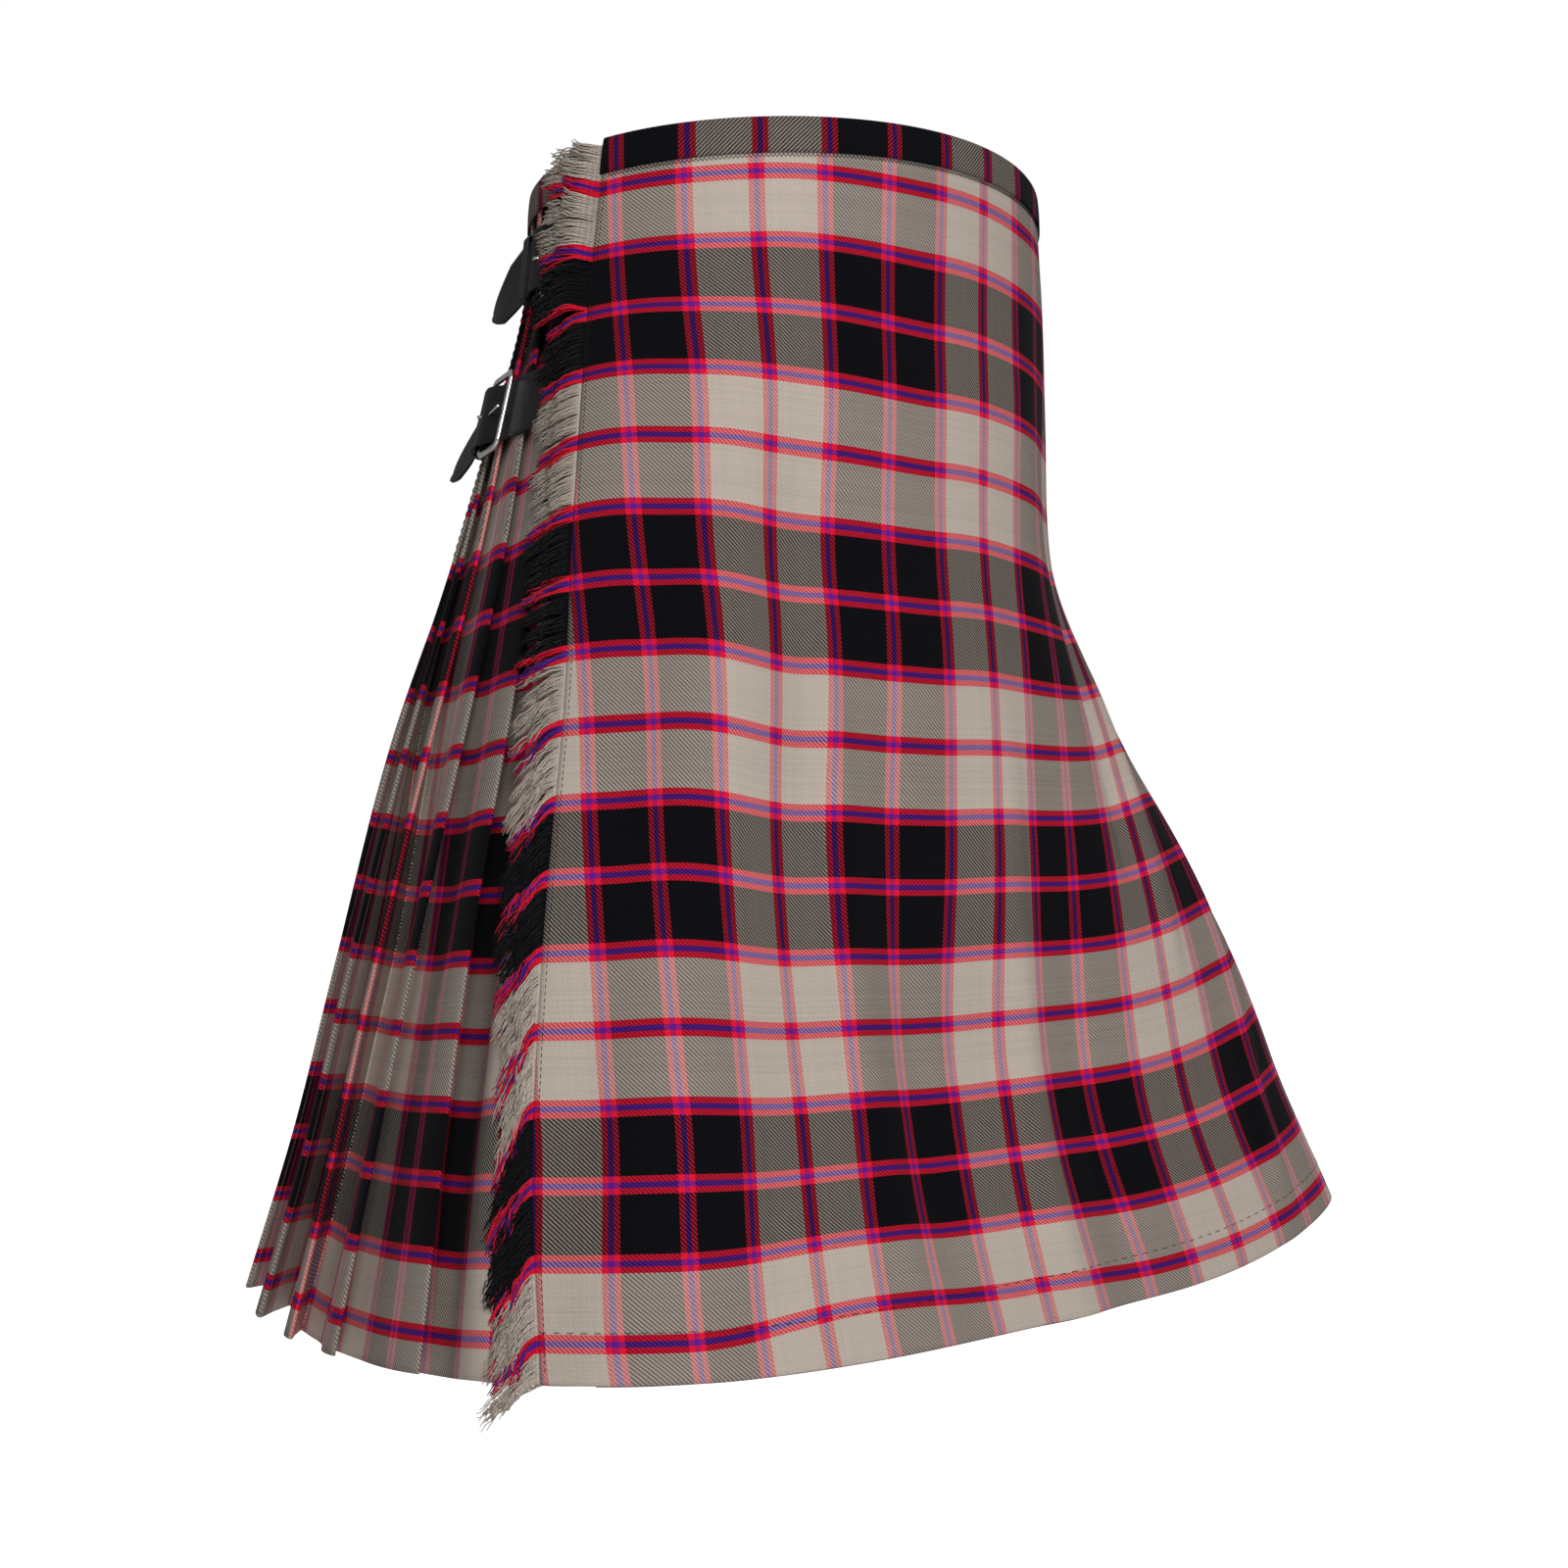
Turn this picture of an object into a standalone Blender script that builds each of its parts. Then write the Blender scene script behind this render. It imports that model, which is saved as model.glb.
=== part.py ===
"""A worn Scottish kilt: a crossed pair of flat aprons in front and knife pleats behind.

Metres, +Z up. The wearer faces -Y and the wearer's right hand is at -X. The origin is
the centre of the waist opening, in the plane of the waistband's top edge.

Everything sits on one cloth surface. A place on it is given by three numbers:
    arc   distance round the body from the centre front, positive to the wearer's left
    drop  distance down the cloth from the top edge
    out   distance off the surface, positive away from the body
"""
import math

import bmesh
import bpy
import numpy as np

# ---- Driving dimensions ------------------------------------------------------------
DROP = 0.611                  # top edge to hem, down the cloth
CLOTH = 0.0010                # thickness of the wool
SEAM = 0.0003                 # gap left between two pieces that touch
PLEATS = 24                   # knife pleats round the back
PLEAT_STRETCHES = {           # lengths of cloth, joined inside a tuck: first pleat, and past the last
    "pleats_right": (0, 8),
    "pleats_back": (8, 16),
    "pleats_left": (16, PLEATS),
}

APRON_HALF_WAIST = 0.2035     # centre of the apron to its edge at the waist
APRON_HALF_HEM = 0.292        # the same at the hem
CENTRE_WAIST = -0.0125        # arc of the apron's centre line at the waist
CENTRE_HEM = -0.039           # the same at the hem, drawn to the right by the stride
APRON_OVERLAP = 0.026         # how far the pleats start inside the apron's edge
LEFT_BLEND = 0.045            # width over which the apron comes down to its left seam
UNDER_SHORT = 0.052           # how far the under apron stops short of the left seam

TUCK = 0.70                   # hidden tuck of a pleat, as a share of its width
PLEAT_DEPTH_WAIST = 0.0060    # fold edge to inner fold, at the waist and the fell
PLEAT_DEPTH_HEM = 0.0210      # the same at the hem, where the pleats swing open
PLEAT_SAG = 0.16              # how far a pleat's face sags, as a share of its depth
BUNCH = 0.20                  # how far the first pleats are drawn to the fringe, in pleat widths
BUNCHED = 9                   # number of pleats that are drawn so
INNER_FOLD = 0.0018           # a pleat's face to its returning layer, at the inner fold
FELL = 0.200                  # drop down to which the pleats are stitched flat

BAND_HEIGHT = 0.020           # waistband, a strip folded over the top edge
FRINGE_LOCKS = 64             # locks in each of the two rows of fringe
FRINGE_THICK = 0.0012
STRAP_WIDTH = 0.033
STRAP_THICK = 0.0014
CHAPE_THICK = 0.0012
WIRE = 0.0012                 # radius of the buckle's wire
PRONG = 0.0008                # radius of the prong
FRAME_LONG = 0.030            # buckle frame, bar to bar
FRAME_TALL = 0.041            # buckle frame, centre line to centre line
FRAME_CORNER = 0.004

# Layers, as the out of each piece's middle. The over apron lies at 0.
UNDER_OUT = -0.0056           # under apron, and the fold edges of the pleats
INNER_FRINGE_OUT = -0.0015
PLEAT_TOP = UNDER_OUT + CLOTH / 2     # surface that the straps and buckles lie on

# How far the cloth stands from the centre, at each drop, to the four sides.
SECTION_COLUMNS = ("drop", "front", "right", "back", "left")
SECTIONS = (
    (0.000, 0.131, 0.164, 0.128, 0.165),
    (0.060, 0.135, 0.168, 0.134, 0.168),
    (0.130, 0.140, 0.183, 0.158, 0.176),
    (0.200, 0.145, 0.197, 0.186, 0.177),
    (0.300, 0.158, 0.220, 0.230, 0.203),
    (0.420, 0.174, 0.247, 0.264, 0.231),
    (0.520, 0.194, 0.270, 0.288, 0.266),
    (0.611, 0.226, 0.296, 0.314, 0.318),
)
SECTION_POWER = 2.0           # 2 is an ellipse, more is squarer
WAIST_TILT = 0.014            # the waist is higher by this at the front, lower behind

# Large soft folds: bearings in degrees from the front, positive to the wearer's left.
FOLD_COLUMNS = ("proud", "bearing_waist", "bearing_hem", "starts", "full", "half_width")
FOLDS = {
    "right_thigh": (0.011, -69, -65, 0.03, 0.19, 27),
    "front_ridge": (0.014, -56, -62, 0.05, 0.32, 12),
    "between_legs": (-0.014, -29, -22, 0.25, 0.49, 40),
    "front_wave": (0.003, -7, -8, 0.19, 0.50, 8),
    "left_stride": (0.067, 44, 49, 0.20, 0.52, 48),
    "left_pinch": (-0.007, 43, 31, 0.05, 0.17, 27),
}

# Straps with their buckles. start: arc from the apron's edge to where the strap begins;
# toe: arc from the edge to the buckle's front bar; sag: how far the free tail hangs.
STRAP_COLUMNS = ("side", "drop", "start", "toe", "tail", "sag", "stand_off")
STRAPS = {
    "right_upper": ("right", 0.050, -0.026, 0.012, 0.050, 0.012, 0.012),
    "right_lower": ("right", 0.127, -0.026, 0.067, 0.050, 0.022, 0.013),
    "left": ("left", 0.050, -0.050, 0.040, 0.045, 0.006, 0.004),
}

# Drops at which the panels have a row of points. The second and third bound the slot,
# and the straps lie between two rows, on flat cloth.
ROWS = (0.0, 0.0325, 0.0675, 0.105, 0.149, FELL, 0.260, 0.330, 0.400, 0.470, 0.540, DROP)


# ---- The cloth surface -------------------------------------------------------------
def smooth(t):
    """Ease from 0 to 1."""
    t = np.clip(t, 0.0, 1.0)
    return t * t * (3.0 - 2.0 * t)


SECTION_TABLE = dict(zip(SECTION_COLUMNS, np.array(SECTIONS).T))
SECTION_SLOPES = {name: np.gradient(values, SECTION_TABLE["drop"])
                  for name, values in SECTION_TABLE.items()}


def column(name, drop):
    """Smooth curve through one column of SECTIONS."""
    x = SECTION_TABLE["drop"]
    y = SECTION_TABLE[name]
    slope = SECTION_SLOPES[name]
    k = np.clip(np.searchsorted(x, drop, side="right") - 1, 0, len(x) - 2)
    span = x[k + 1] - x[k]
    t = (drop - x[k]) / span
    rise = (1 + 2 * t) * (1 - t) ** 2 * y[k] + t * t * (3 - 2 * t) * y[k + 1]
    return rise + span * (t * (1 - t) ** 2 * slope[k] - t * t * (1 - t) * slope[k + 1])


def radius(bearing, drop):
    """Distance from the centre to the cloth; bearing in radians."""
    side = np.where(np.sin(bearing) < 0, column("right", drop), column("left", drop))
    depth = np.where(np.cos(bearing) > 0, column("front", drop), column("back", drop))
    across = (np.abs(np.sin(bearing)) / side) ** SECTION_POWER
    along = (np.abs(np.cos(bearing)) / depth) ** SECTION_POWER
    r = (across + along) ** (-1.0 / SECTION_POWER)
    for proud, waist, hem, starts, full, half in FOLDS.values():
        centre = waist + (hem - waist) * drop / DROP
        off = (np.degrees(bearing) - centre + 180.0) % 360.0 - 180.0
        bump = np.cos(np.pi / 2 * np.clip(off / half, -1, 1)) ** 2
        r = r + proud * bump * smooth((drop - starts) / (full - starts))
    return r


def base_point(bearing, drop):
    """Point of the surface, found by walking down the cloth from the waist."""
    bearing, drop = np.broadcast_arrays(np.asarray(bearing, float), np.asarray(drop, float))
    inside = np.clip(drop, 0.0, DROP)
    walk = np.linspace(0.0, 1.0, 25).reshape((-1,) + (1,) * inside.ndim) * inside
    r = radius(bearing, walk)
    fall = np.sqrt(np.maximum(np.diff(walk, axis=0) ** 2 - np.diff(r, axis=0) ** 2, 0.0))
    z = WAIST_TILT * np.cos(bearing) - fall.sum(axis=0)
    beyond = drop - inside
    spread = (radius(bearing, inside) - radius(bearing, np.maximum(inside - 0.01, 0))) / 0.01
    r = r[-1] + beyond * spread
    z = z - beyond * np.sqrt(1.0 - np.minimum(spread, 0.9) ** 2)
    return np.stack([r * np.sin(bearing), -r * np.cos(bearing), z], axis=-1)


def base_normal(bearing, drop):
    """Outward direction of the surface."""
    turn = math.radians(1.5)
    step = 0.004
    low = np.clip(drop, step, DROP - step)
    around = base_point(bearing + turn, drop) - base_point(bearing - turn, drop)
    down = base_point(bearing, low + step) - base_point(bearing, low - step)
    normal = np.cross(down, around)
    return normal / np.linalg.norm(normal, axis=-1, keepdims=True)


RING_BEARINGS = np.radians(np.arange(-390.0, 391.0, 3.0))
RING_DROPS = np.linspace(0.0, DROP, 48)


def ring_arcs():
    """Arc of every ring bearing at every ring drop."""
    points = base_point(RING_BEARINGS[None, :], RING_DROPS[:, None])
    steps = np.linalg.norm(np.diff(points, axis=1), axis=-1)
    arcs = np.concatenate([np.zeros((len(RING_DROPS), 1)), np.cumsum(steps, axis=1)], axis=1)
    front = np.argmin(np.abs(RING_BEARINGS))
    return arcs - arcs[:, front:front + 1]


ARCS = ring_arcs()


def bearing_at(arc, drop):
    """Bearing of each place that is given by its arc and drop."""
    arc, drop = np.broadcast_arrays(np.asarray(arc, float), np.asarray(drop, float))
    flat = np.clip(drop, 0.0, DROP).ravel()
    low = np.clip(np.searchsorted(RING_DROPS, flat, side="right") - 1, 0, len(RING_DROPS) - 2)
    t = (flat - RING_DROPS[low]) / (RING_DROPS[1] - RING_DROPS[0])
    result = np.empty(flat.size)
    for i, where in enumerate(arc.ravel()):
        ring = ARCS[low[i]] * (1 - t[i]) + ARCS[low[i] + 1] * t[i]
        result[i] = np.interp(where, ring, RING_BEARINGS)
    return result.reshape(arc.shape)


def on_cloth(arc, drop, out):
    """Points at the given arc, drop and out."""
    arc, drop, out = np.broadcast_arrays(*(np.asarray(a, float) for a in (arc, drop, out)))
    bearing = bearing_at(arc, drop)
    return base_point(bearing, drop) + out[..., None] * base_normal(bearing, drop)


def on_panel(line, across, drop, out):
    """The same, on the flat facets that a panel has between its rows.

    line: function that gives the arc of a line down the panel, across: arc from that line.
    """
    rows = np.array(ROWS)
    across, drop, out = np.broadcast_arrays(*(np.asarray(a, float) for a in (across, drop, out)))
    k = np.clip(np.searchsorted(rows, drop, side="right") - 1, 0, len(rows) - 2)
    t = ((drop - rows[k]) / (rows[k + 1] - rows[k]))[..., None]
    upper = on_cloth(line(rows[k]) + across, rows[k], out)
    lower = on_cloth(line(rows[k + 1]) + across, rows[k + 1], out)
    return upper * (1 - t) + lower * t


def girth(drop):
    """Distance all the way round at a drop."""
    ends = np.radians([-180.0, 180.0])
    per_ring = [np.interp(ends, RING_BEARINGS, row) for row in ARCS]
    return np.interp(drop, RING_DROPS, [right - left for left, right in per_ring])


def centre_line(drop):
    return CENTRE_WAIST + (CENTRE_HEM - CENTRE_WAIST) * np.asarray(drop) / DROP


def half_apron(drop):
    """Half the apron's width; the edges are shaped, so they spread towards the hem."""
    return APRON_HALF_WAIST + (APRON_HALF_HEM - APRON_HALF_WAIST) * np.asarray(drop) / DROP


def right_edge(drop):
    return centre_line(drop) - half_apron(drop)


def left_edge(drop):
    return centre_line(drop) + half_apron(drop)


# ---- Solids ------------------------------------------------------------------------
def paint(obj, name, color, roughness, metallic=0.0):
    material = bpy.data.materials.get(name)
    if material is None:
        material = bpy.data.materials.new(name)
        material.use_nodes = True
        shader = material.node_tree.nodes["Principled BSDF"]
        shader.inputs["Base Color"].default_value = (*color, 1.0)
        shader.inputs["Roughness"].default_value = roughness
        shader.inputs["Metallic"].default_value = metallic
    obj.data.materials.append(material)


def finish_object(name, mesh_data, finish):
    """Turn a bmesh into a named object with its faces pointing out."""
    bmesh.ops.recalc_face_normals(mesh_data, faces=mesh_data.faces)
    mesh = bpy.data.meshes.new(name)
    mesh_data.to_mesh(mesh)
    mesh_data.free()
    obj = bpy.data.objects.new(name, mesh)
    bpy.context.scene.collection.objects.link(obj)
    paint(obj, *finish)
    return obj


def wall(name, outer, inner, finish, missing=None):
    """Solid wall between two grids of points; missing cells are left open."""
    columns, rows = outer.shape[:2]
    bm = bmesh.new()
    near, far = [[[bm.verts.new(p) for p in line] for line in grid] for grid in (outer, inner)]
    present = np.ones((columns - 1, rows - 1), bool)
    if missing is not None:
        present &= ~missing

    def filled(c, r):
        return 0 <= c < columns - 1 and 0 <= r < rows - 1 and present[c, r]

    for c, r in np.argwhere(present):
        d = c + 1
        low = r + 1
        # Both sides are split along the same diagonal, which keeps the wall even.
        for corners in (((c, r), (c, low), (d, low)), ((c, r), (d, low), (d, r))):
            bm.faces.new([near[i][j] for i, j in corners])
            bm.faces.new([far[i][j] for i, j in reversed(corners)])
        sides = (((c, r), (c, low), filled(c - 1, r)), ((d, low), (d, r), filled(d, r)),
                 ((d, r), (c, r), filled(c, r - 1)), ((c, low), (d, low), filled(c, low)))
        for (ca, ra), (cb, rb), covered in sides:
            if not covered:
                bm.faces.new((near[cb][rb], near[ca][ra], far[ca][ra], far[cb][rb]))
    unused = [v for v in bm.verts if not v.link_faces]
    bmesh.ops.delete(bm, geom=unused, context="VERTS")
    return finish_object(name, bm, finish)


def offset_line(line, distance):
    """A polyline in its plane, moved to its left by a distance; corners are mitred."""
    line = np.asarray(line, float)
    way = np.diff(line, axis=0)
    way /= np.linalg.norm(way, axis=1, keepdims=True)
    left = np.stack([-way[:, 1], way[:, 0]], axis=1)
    before = np.vstack([left[:1], left])
    after = np.vstack([left, left[-1:]])
    share = 1.0 + (before * after).sum(axis=1, keepdims=True)
    return line + distance * (before + after) / share


WOOL = ("tartan_wool", (0.30, 0.20, 0.20), 0.85)
BAND = ("band_wool", (0.06, 0.05, 0.06), 0.85)
FRINGE = ("fringe_wool", (0.42, 0.34, 0.30), 0.90)
LEATHER = ("strap_leather", (0.02, 0.02, 0.022), 0.45)
NICKEL = ("nickel", (0.75, 0.74, 0.70), 0.25, 1.0)


# ---- Aprons ------------------------------------------------------------------------
def apron_out(arc, drop):
    """The over apron comes down to the pleats' level over its last stretch at the left."""
    return UNDER_OUT * smooth((arc - left_edge(drop) + LEFT_BLEND) / LEFT_BLEND)


def over_apron_columns():
    """Share of the way from the right edge to the left seam, closer at both ends."""
    return np.concatenate([[0.0, 0.010], np.linspace(0.032, 0.968, 32), [0.985, 1.0]])


def strap_slot(drop):
    """Whether a row of cells lies within the left strap's slot."""
    middle = STRAPS["left"][1]
    return abs(drop - middle) < STRAP_WIDTH / 2


def over_apron():
    share = over_apron_columns()[:, None]
    drop = np.array(ROWS)[None, :]
    left = left_edge(drop) - SEAM
    arc = right_edge(drop) * (1 - share) + left * share
    out = apron_out(arc, drop)
    missing = np.zeros((len(share) - 1, len(ROWS) - 1), bool)
    for r in range(len(ROWS) - 1):
        missing[-1, r] = strap_slot((ROWS[r] + ROWS[r + 1]) / 2)
    outer = on_cloth(arc, drop, out + CLOTH / 2)
    inner = on_cloth(arc, drop, out - CLOTH / 2)
    return wall("apron_over", outer, inner, WOOL, missing)


def pleat_start(drop):
    """Arc of the seam between the under apron and the pleats, hidden by the over apron."""
    return right_edge(drop) + APRON_OVERLAP


def under_apron():
    share = np.linspace(0.0, 1.0, 25)[:, None]
    drop = np.array(ROWS)[None, :]
    right = pleat_start(drop) + SEAM
    left = left_edge(drop) - UNDER_SHORT
    arc = right * (1 - share) + left * share
    outer = on_cloth(arc, drop, UNDER_OUT + CLOTH / 2)
    inner = on_cloth(arc, drop, UNDER_OUT - CLOTH / 2)
    return wall("apron_under", outer, inner, WOOL)


# ---- Pleats ------------------------------------------------------------------------
def pleat_width(drop):
    """Width that each pleat shows."""
    round_back = girth(drop) - (left_edge(drop) - pleat_start(drop))
    return round_back / PLEATS


PLEAT_POINTS = 5              # points that pleat_line gives to each pleat


def sway(k, drop):
    """How far a fold edge hangs from its even place, in pleat widths."""
    if k == PLEATS:
        return 0.0
    swing = smooth((drop - FELL) / (DROP - FELL))
    bunch = BUNCH * math.sin(math.pi * min(k / BUNCHED, 1.0))
    return (0.10 * math.sin(2.4 * k) - bunch) * swing


def pleat_line(drop):
    """Section of the pleated wall as distance behind its start, and out."""
    width = pleat_width(drop)
    swing = smooth((drop - FELL) / (DROP - FELL))
    depth = PLEAT_DEPTH_WAIST + (PLEAT_DEPTH_HEM - PLEAT_DEPTH_WAIST) * swing
    line = []
    for k in range(PLEATS):
        last = k == PLEATS - 1
        deep = depth * (1 + 0.22 * math.sin(1.7 * k + 1) * swing)
        fold = width * (k + sway(k, drop))
        following = width * (k + 1 + sway(k + 1, drop))
        if last:
            middle = (fold + following) / 2
            line += [(fold, UNDER_OUT), (middle, UNDER_OUT), (following - SEAM, UNDER_OUT)]
            break
        tail = following + width * TUCK
        line += [
            (fold, UNDER_OUT),
            ((fold + following) / 2, UNDER_OUT - PLEAT_SAG * deep),
            (tail, UNDER_OUT - deep),
            (tail, UNDER_OUT - deep + INNER_FOLD),
            (following, UNDER_OUT - CLOTH - SEAM),
        ]
    return np.array(line)


def pleats():
    sides = []
    for distance in (CLOTH / 2, -CLOTH / 2):
        grid = []
        for drop in ROWS:
            line = offset_line(pleat_line(drop), distance)
            grid.append(on_cloth(pleat_start(drop) - line[:, 0], drop, line[:, 1]))
        sides.append(np.stack(grid, axis=1))
    for name, (first, past) in PLEAT_STRETCHES.items():
        points = slice(PLEAT_POINTS * first, PLEAT_POINTS * past)
        wall(name, sides[0][points], sides[1][points], WOOL)


# ---- Waistband ---------------------------------------------------------------------
def waistband(name, arcs, middle, half_inside):
    """Strip folded over the top edge; middle and half_inside give the layers it holds."""
    leg_in = half_inside + SEAM
    leg_out = leg_in + CLOTH
    top_in = -SEAM
    top_out = -SEAM - CLOTH
    profile = ((BAND_HEIGHT, leg_out), (0.0, leg_out), (top_out, leg_out - CLOTH / 2),
               (top_out, -leg_out + CLOTH / 2), (0.0, -leg_out), (BAND_HEIGHT, -leg_out))
    lining = ((BAND_HEIGHT, leg_in), (0.0, leg_in), (top_in, leg_in),
              (top_in, -leg_in), (0.0, -leg_in), (BAND_HEIGHT, -leg_in))
    grids = []
    for points in (profile, lining):
        drop = np.array([p[0] for p in points])[None, :]
        out = np.array([p[1] for p in points])[None, :]
        inside = np.clip(drop, 0.0, None)
        grids.append(on_panel(arcs, 0.0, drop, middle(arcs(inside), inside) + out))
    return wall(name, grids[0], grids[1], BAND)


def waistbands():
    over = over_apron_columns()[:, None]
    waistband("waistband_over",
              lambda drop: right_edge(drop) * (1 - over) + (left_edge(drop) - SEAM) * over,
              apron_out, CLOTH / 2)
    under = np.linspace(0.0, 1.0, 25)[:, None]
    waistband("waistband_under",
              lambda drop: ((pleat_start(drop) + SEAM) * (1 - under)
                            + (left_edge(drop) - UNDER_SHORT) * under),
              lambda arc, drop: UNDER_OUT, CLOTH / 2)
    stack = PLEAT_DEPTH_WAIST / 2
    back = np.linspace(0.0, 1.0, 33)[:, None]

    def back_arcs(drop):
        end = left_edge(drop) - girth(drop)
        return (pleat_start(drop) - SEAM) * (1 - back) + (end + SEAM) * back

    waistband("waistband_back", back_arcs, lambda arc, drop: UNDER_OUT - stack,
              stack + CLOTH / 2 + SEAM)


# ---- Fringe ------------------------------------------------------------------------
def fringe(name, root, strip, out, reach, droop, thick, shares):
    """Backing strip with one tapered lock for each cell of its rear side.

    root: arc from the apron's edge to the strip's rear side, strip: the strip's width,
    reach: length of the locks at the waist and at the hem, droop: share that hangs down,
    shares: where along a lock its sections lie, with their sizes and their share of the
    lift that takes the locks over the upper buckle.
    """
    top = BAND_HEIGHT + 0.002
    cell = (DROP - top) / FRINGE_LOCKS
    places = []
    faces = []

    def ring(arc, low, high, middle, half):
        places.extend([(arc, low, middle + half), (arc, high, middle + half),
                       (arc, high, middle - half), (arc, low, middle - half)])
        return list(range(len(places) - 4, len(places)))

    def tube(first, second):
        for side in range(4):
            following = (side + 1) % 4
            faces.append((first[side], first[following], second[following], second[side]))

    fronts = [ring(root + strip, top + k * cell, top + k * cell, out, thick / 2)
              for k in range(FRINGE_LOCKS + 1)]
    rears = [ring(root, top + k * cell, top + k * cell, out, thick / 2)
             for k in range(FRINGE_LOCKS + 1)]
    # Each strip ring is a pair of points, outer at 0 and inner at 3.
    for k in range(FRINGE_LOCKS):
        front, rear, low_front, low_rear = fronts[k], rears[k], fronts[k + 1], rears[k + 1]
        faces.append((front[0], rear[0], low_rear[0], low_front[0]))
        faces.append((front[3], low_front[3], low_rear[3], rear[3]))
        faces.append((front[0], low_front[0], low_front[3], front[3]))
        middle = top + (k + 0.5) * cell
        last = ring(root, middle - 0.38 * cell, middle + 0.38 * cell, out, thick / 2)
        tube((rear[0], low_rear[0], low_rear[3], rear[3]), last)
        along = k / (FRINGE_LOCKS - 1)
        length = (reach[0] + (reach[1] - reach[0]) * along) * (1 + 0.14 * math.sin(1.9 * k))
        hang = droop * (1 + 0.25 * math.sin(0.42 * k)) * length
        near_buckle = (0.044 - abs(middle + hang / 2 - STRAPS["right_upper"][1])) / 0.008
        lift = 0.0078 * smooth(near_buckle) + 0.0006 * math.sin(2.2 * k)
        for share, size, raised in shares:
            low = middle + hang * share ** 1.5 - 0.38 * cell * size
            high = middle + hang * share ** 1.5 + 0.38 * cell * size
            across = ring(root - length * share, low, high, out + lift * raised, thick * size / 2)
            tube(last, across)
            last = across
        places.append((root - length, middle + hang, out + lift))
        tip = len(places) - 1
        faces.extend((last[side], last[(side + 1) % 4], tip) for side in range(4))
    first, final = (fronts[0], rears[0]), (fronts[-1], rears[-1])
    faces.append((first[0][0], first[0][3], first[1][3], first[1][0]))
    faces.append((final[0][0], final[1][0], final[1][3], final[0][3]))

    arc, drop, off = np.array(places).T
    inside = np.clip(drop, 0.0, DROP)
    points = on_panel(right_edge, arc, inside, off)
    points[:, 2] -= drop - inside
    bm = bmesh.new()
    verts = [bm.verts.new(point) for point in points]
    for face in faces:
        bm.faces.new([verts[i] for i in face])
    bmesh.ops.delete(bm, geom=[v for v in bm.verts if not v.link_faces], context="VERTS")
    return finish_object(name, bm, FRINGE)


# ---- Straps and buckles ------------------------------------------------------------
class Station:
    """Local frame of one strap: x runs back along it, y up, h off the pleats."""

    def __init__(self, key):
        self.side, self.drop, self.start, self.toe, self.tail, self.sag, self.stand_off = STRAPS[key]
        self.name = key
        self.sign = -1.0 if self.side == "right" else 1.0
        self.heel = self.toe + FRAME_LONG

    def place(self, x, y, h):
        line = right_edge if self.side == "right" else left_edge
        return on_panel(line, self.sign * x, self.drop - y, PLEAT_TOP + h)


REST = 0.0005                 # gap between the leather and the pleats' folds
BAR = 0.0037                  # height of the buckle's wire above the pleats
STRAP_LOW = REST + STRAP_THICK / 2
STRAP_HIGH = BAR + WIRE + 2 * PRONG + 2 * SEAM + STRAP_THICK / 2
CHAPE_LONG = 0.026
SLOT_STOPS = (-0.045, -0.030, -0.015, -0.0075, -0.004, 0.001)
PAD_TOP = REST + SEAM + 2 * CHAPE_THICK
STRAP_ON_PAD = PAD_TOP + SEAM + STRAP_THICK / 2


def strap_height(station, x):
    """Height of the strap's middle: under the front bar, over the heel bar, then free."""
    climb = smooth((x - station.toe - 0.004) / (FRAME_LONG - 0.007))
    settle = smooth((x - station.heel - 0.004) / 0.012)
    free = smooth((x - station.heel - CHAPE_LONG) / station.tail)
    height = STRAP_LOW + (STRAP_HIGH - STRAP_LOW) * climb + (STRAP_ON_PAD - STRAP_HIGH) * settle
    if station.side == "left":
        # It dives under the apron and comes out through the slot in the seam.
        height = height - 0.0034 * smooth((x + 0.045) / 0.030) * (1 - smooth((x + 0.0075) / 0.0085))
    return height + station.stand_off * free


def strap(station):
    end = station.heel + 0.020 + station.tail
    stops = np.unique(np.concatenate([
        np.linspace(station.start, station.toe, 7),
        np.array(SLOT_STOPS if station.side == "left" else ()),
        station.toe + FRAME_LONG * np.array([0.15, 0.3, 0.42, 0.55, 0.7, 0.85, 0.97, 1.1]),
        np.linspace(station.heel + 0.008, end, 9)]))
    free = smooth((stops - station.heel - 0.022) / station.tail)
    half = STRAP_WIDTH / 2 * np.sqrt(np.clip((end + 0.001 - stops) / 0.020, 0.0, 1.0))
    half = np.maximum(half, 0.002)
    across = np.stack([half, np.full_like(half, 0.0015), np.full_like(half, -0.0015), -half], axis=1)
    heights = np.array([strap_height(station, x) for x in stops])
    middle = np.stack([stops, heights], axis=1)
    grids = []
    for distance in (STRAP_THICK / 2, -STRAP_THICK / 2):
        moved = offset_line(middle, distance)
        x = moved[:, :1] + 0.0 * across
        y = across - station.sag * free[:, None]
        grids.append(station.place(x, y, moved[:, 1:] + 0.0 * across))
    slot = np.zeros((len(stops) - 1, 3), bool)
    centres = (stops[1:] + stops[:-1]) / 2
    slot[:, 1] = (centres > station.toe + 0.40 * FRAME_LONG) & (centres < station.heel)
    return wall("strap_" + station.name, grids[0], grids[1], LEATHER, slot)


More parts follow.
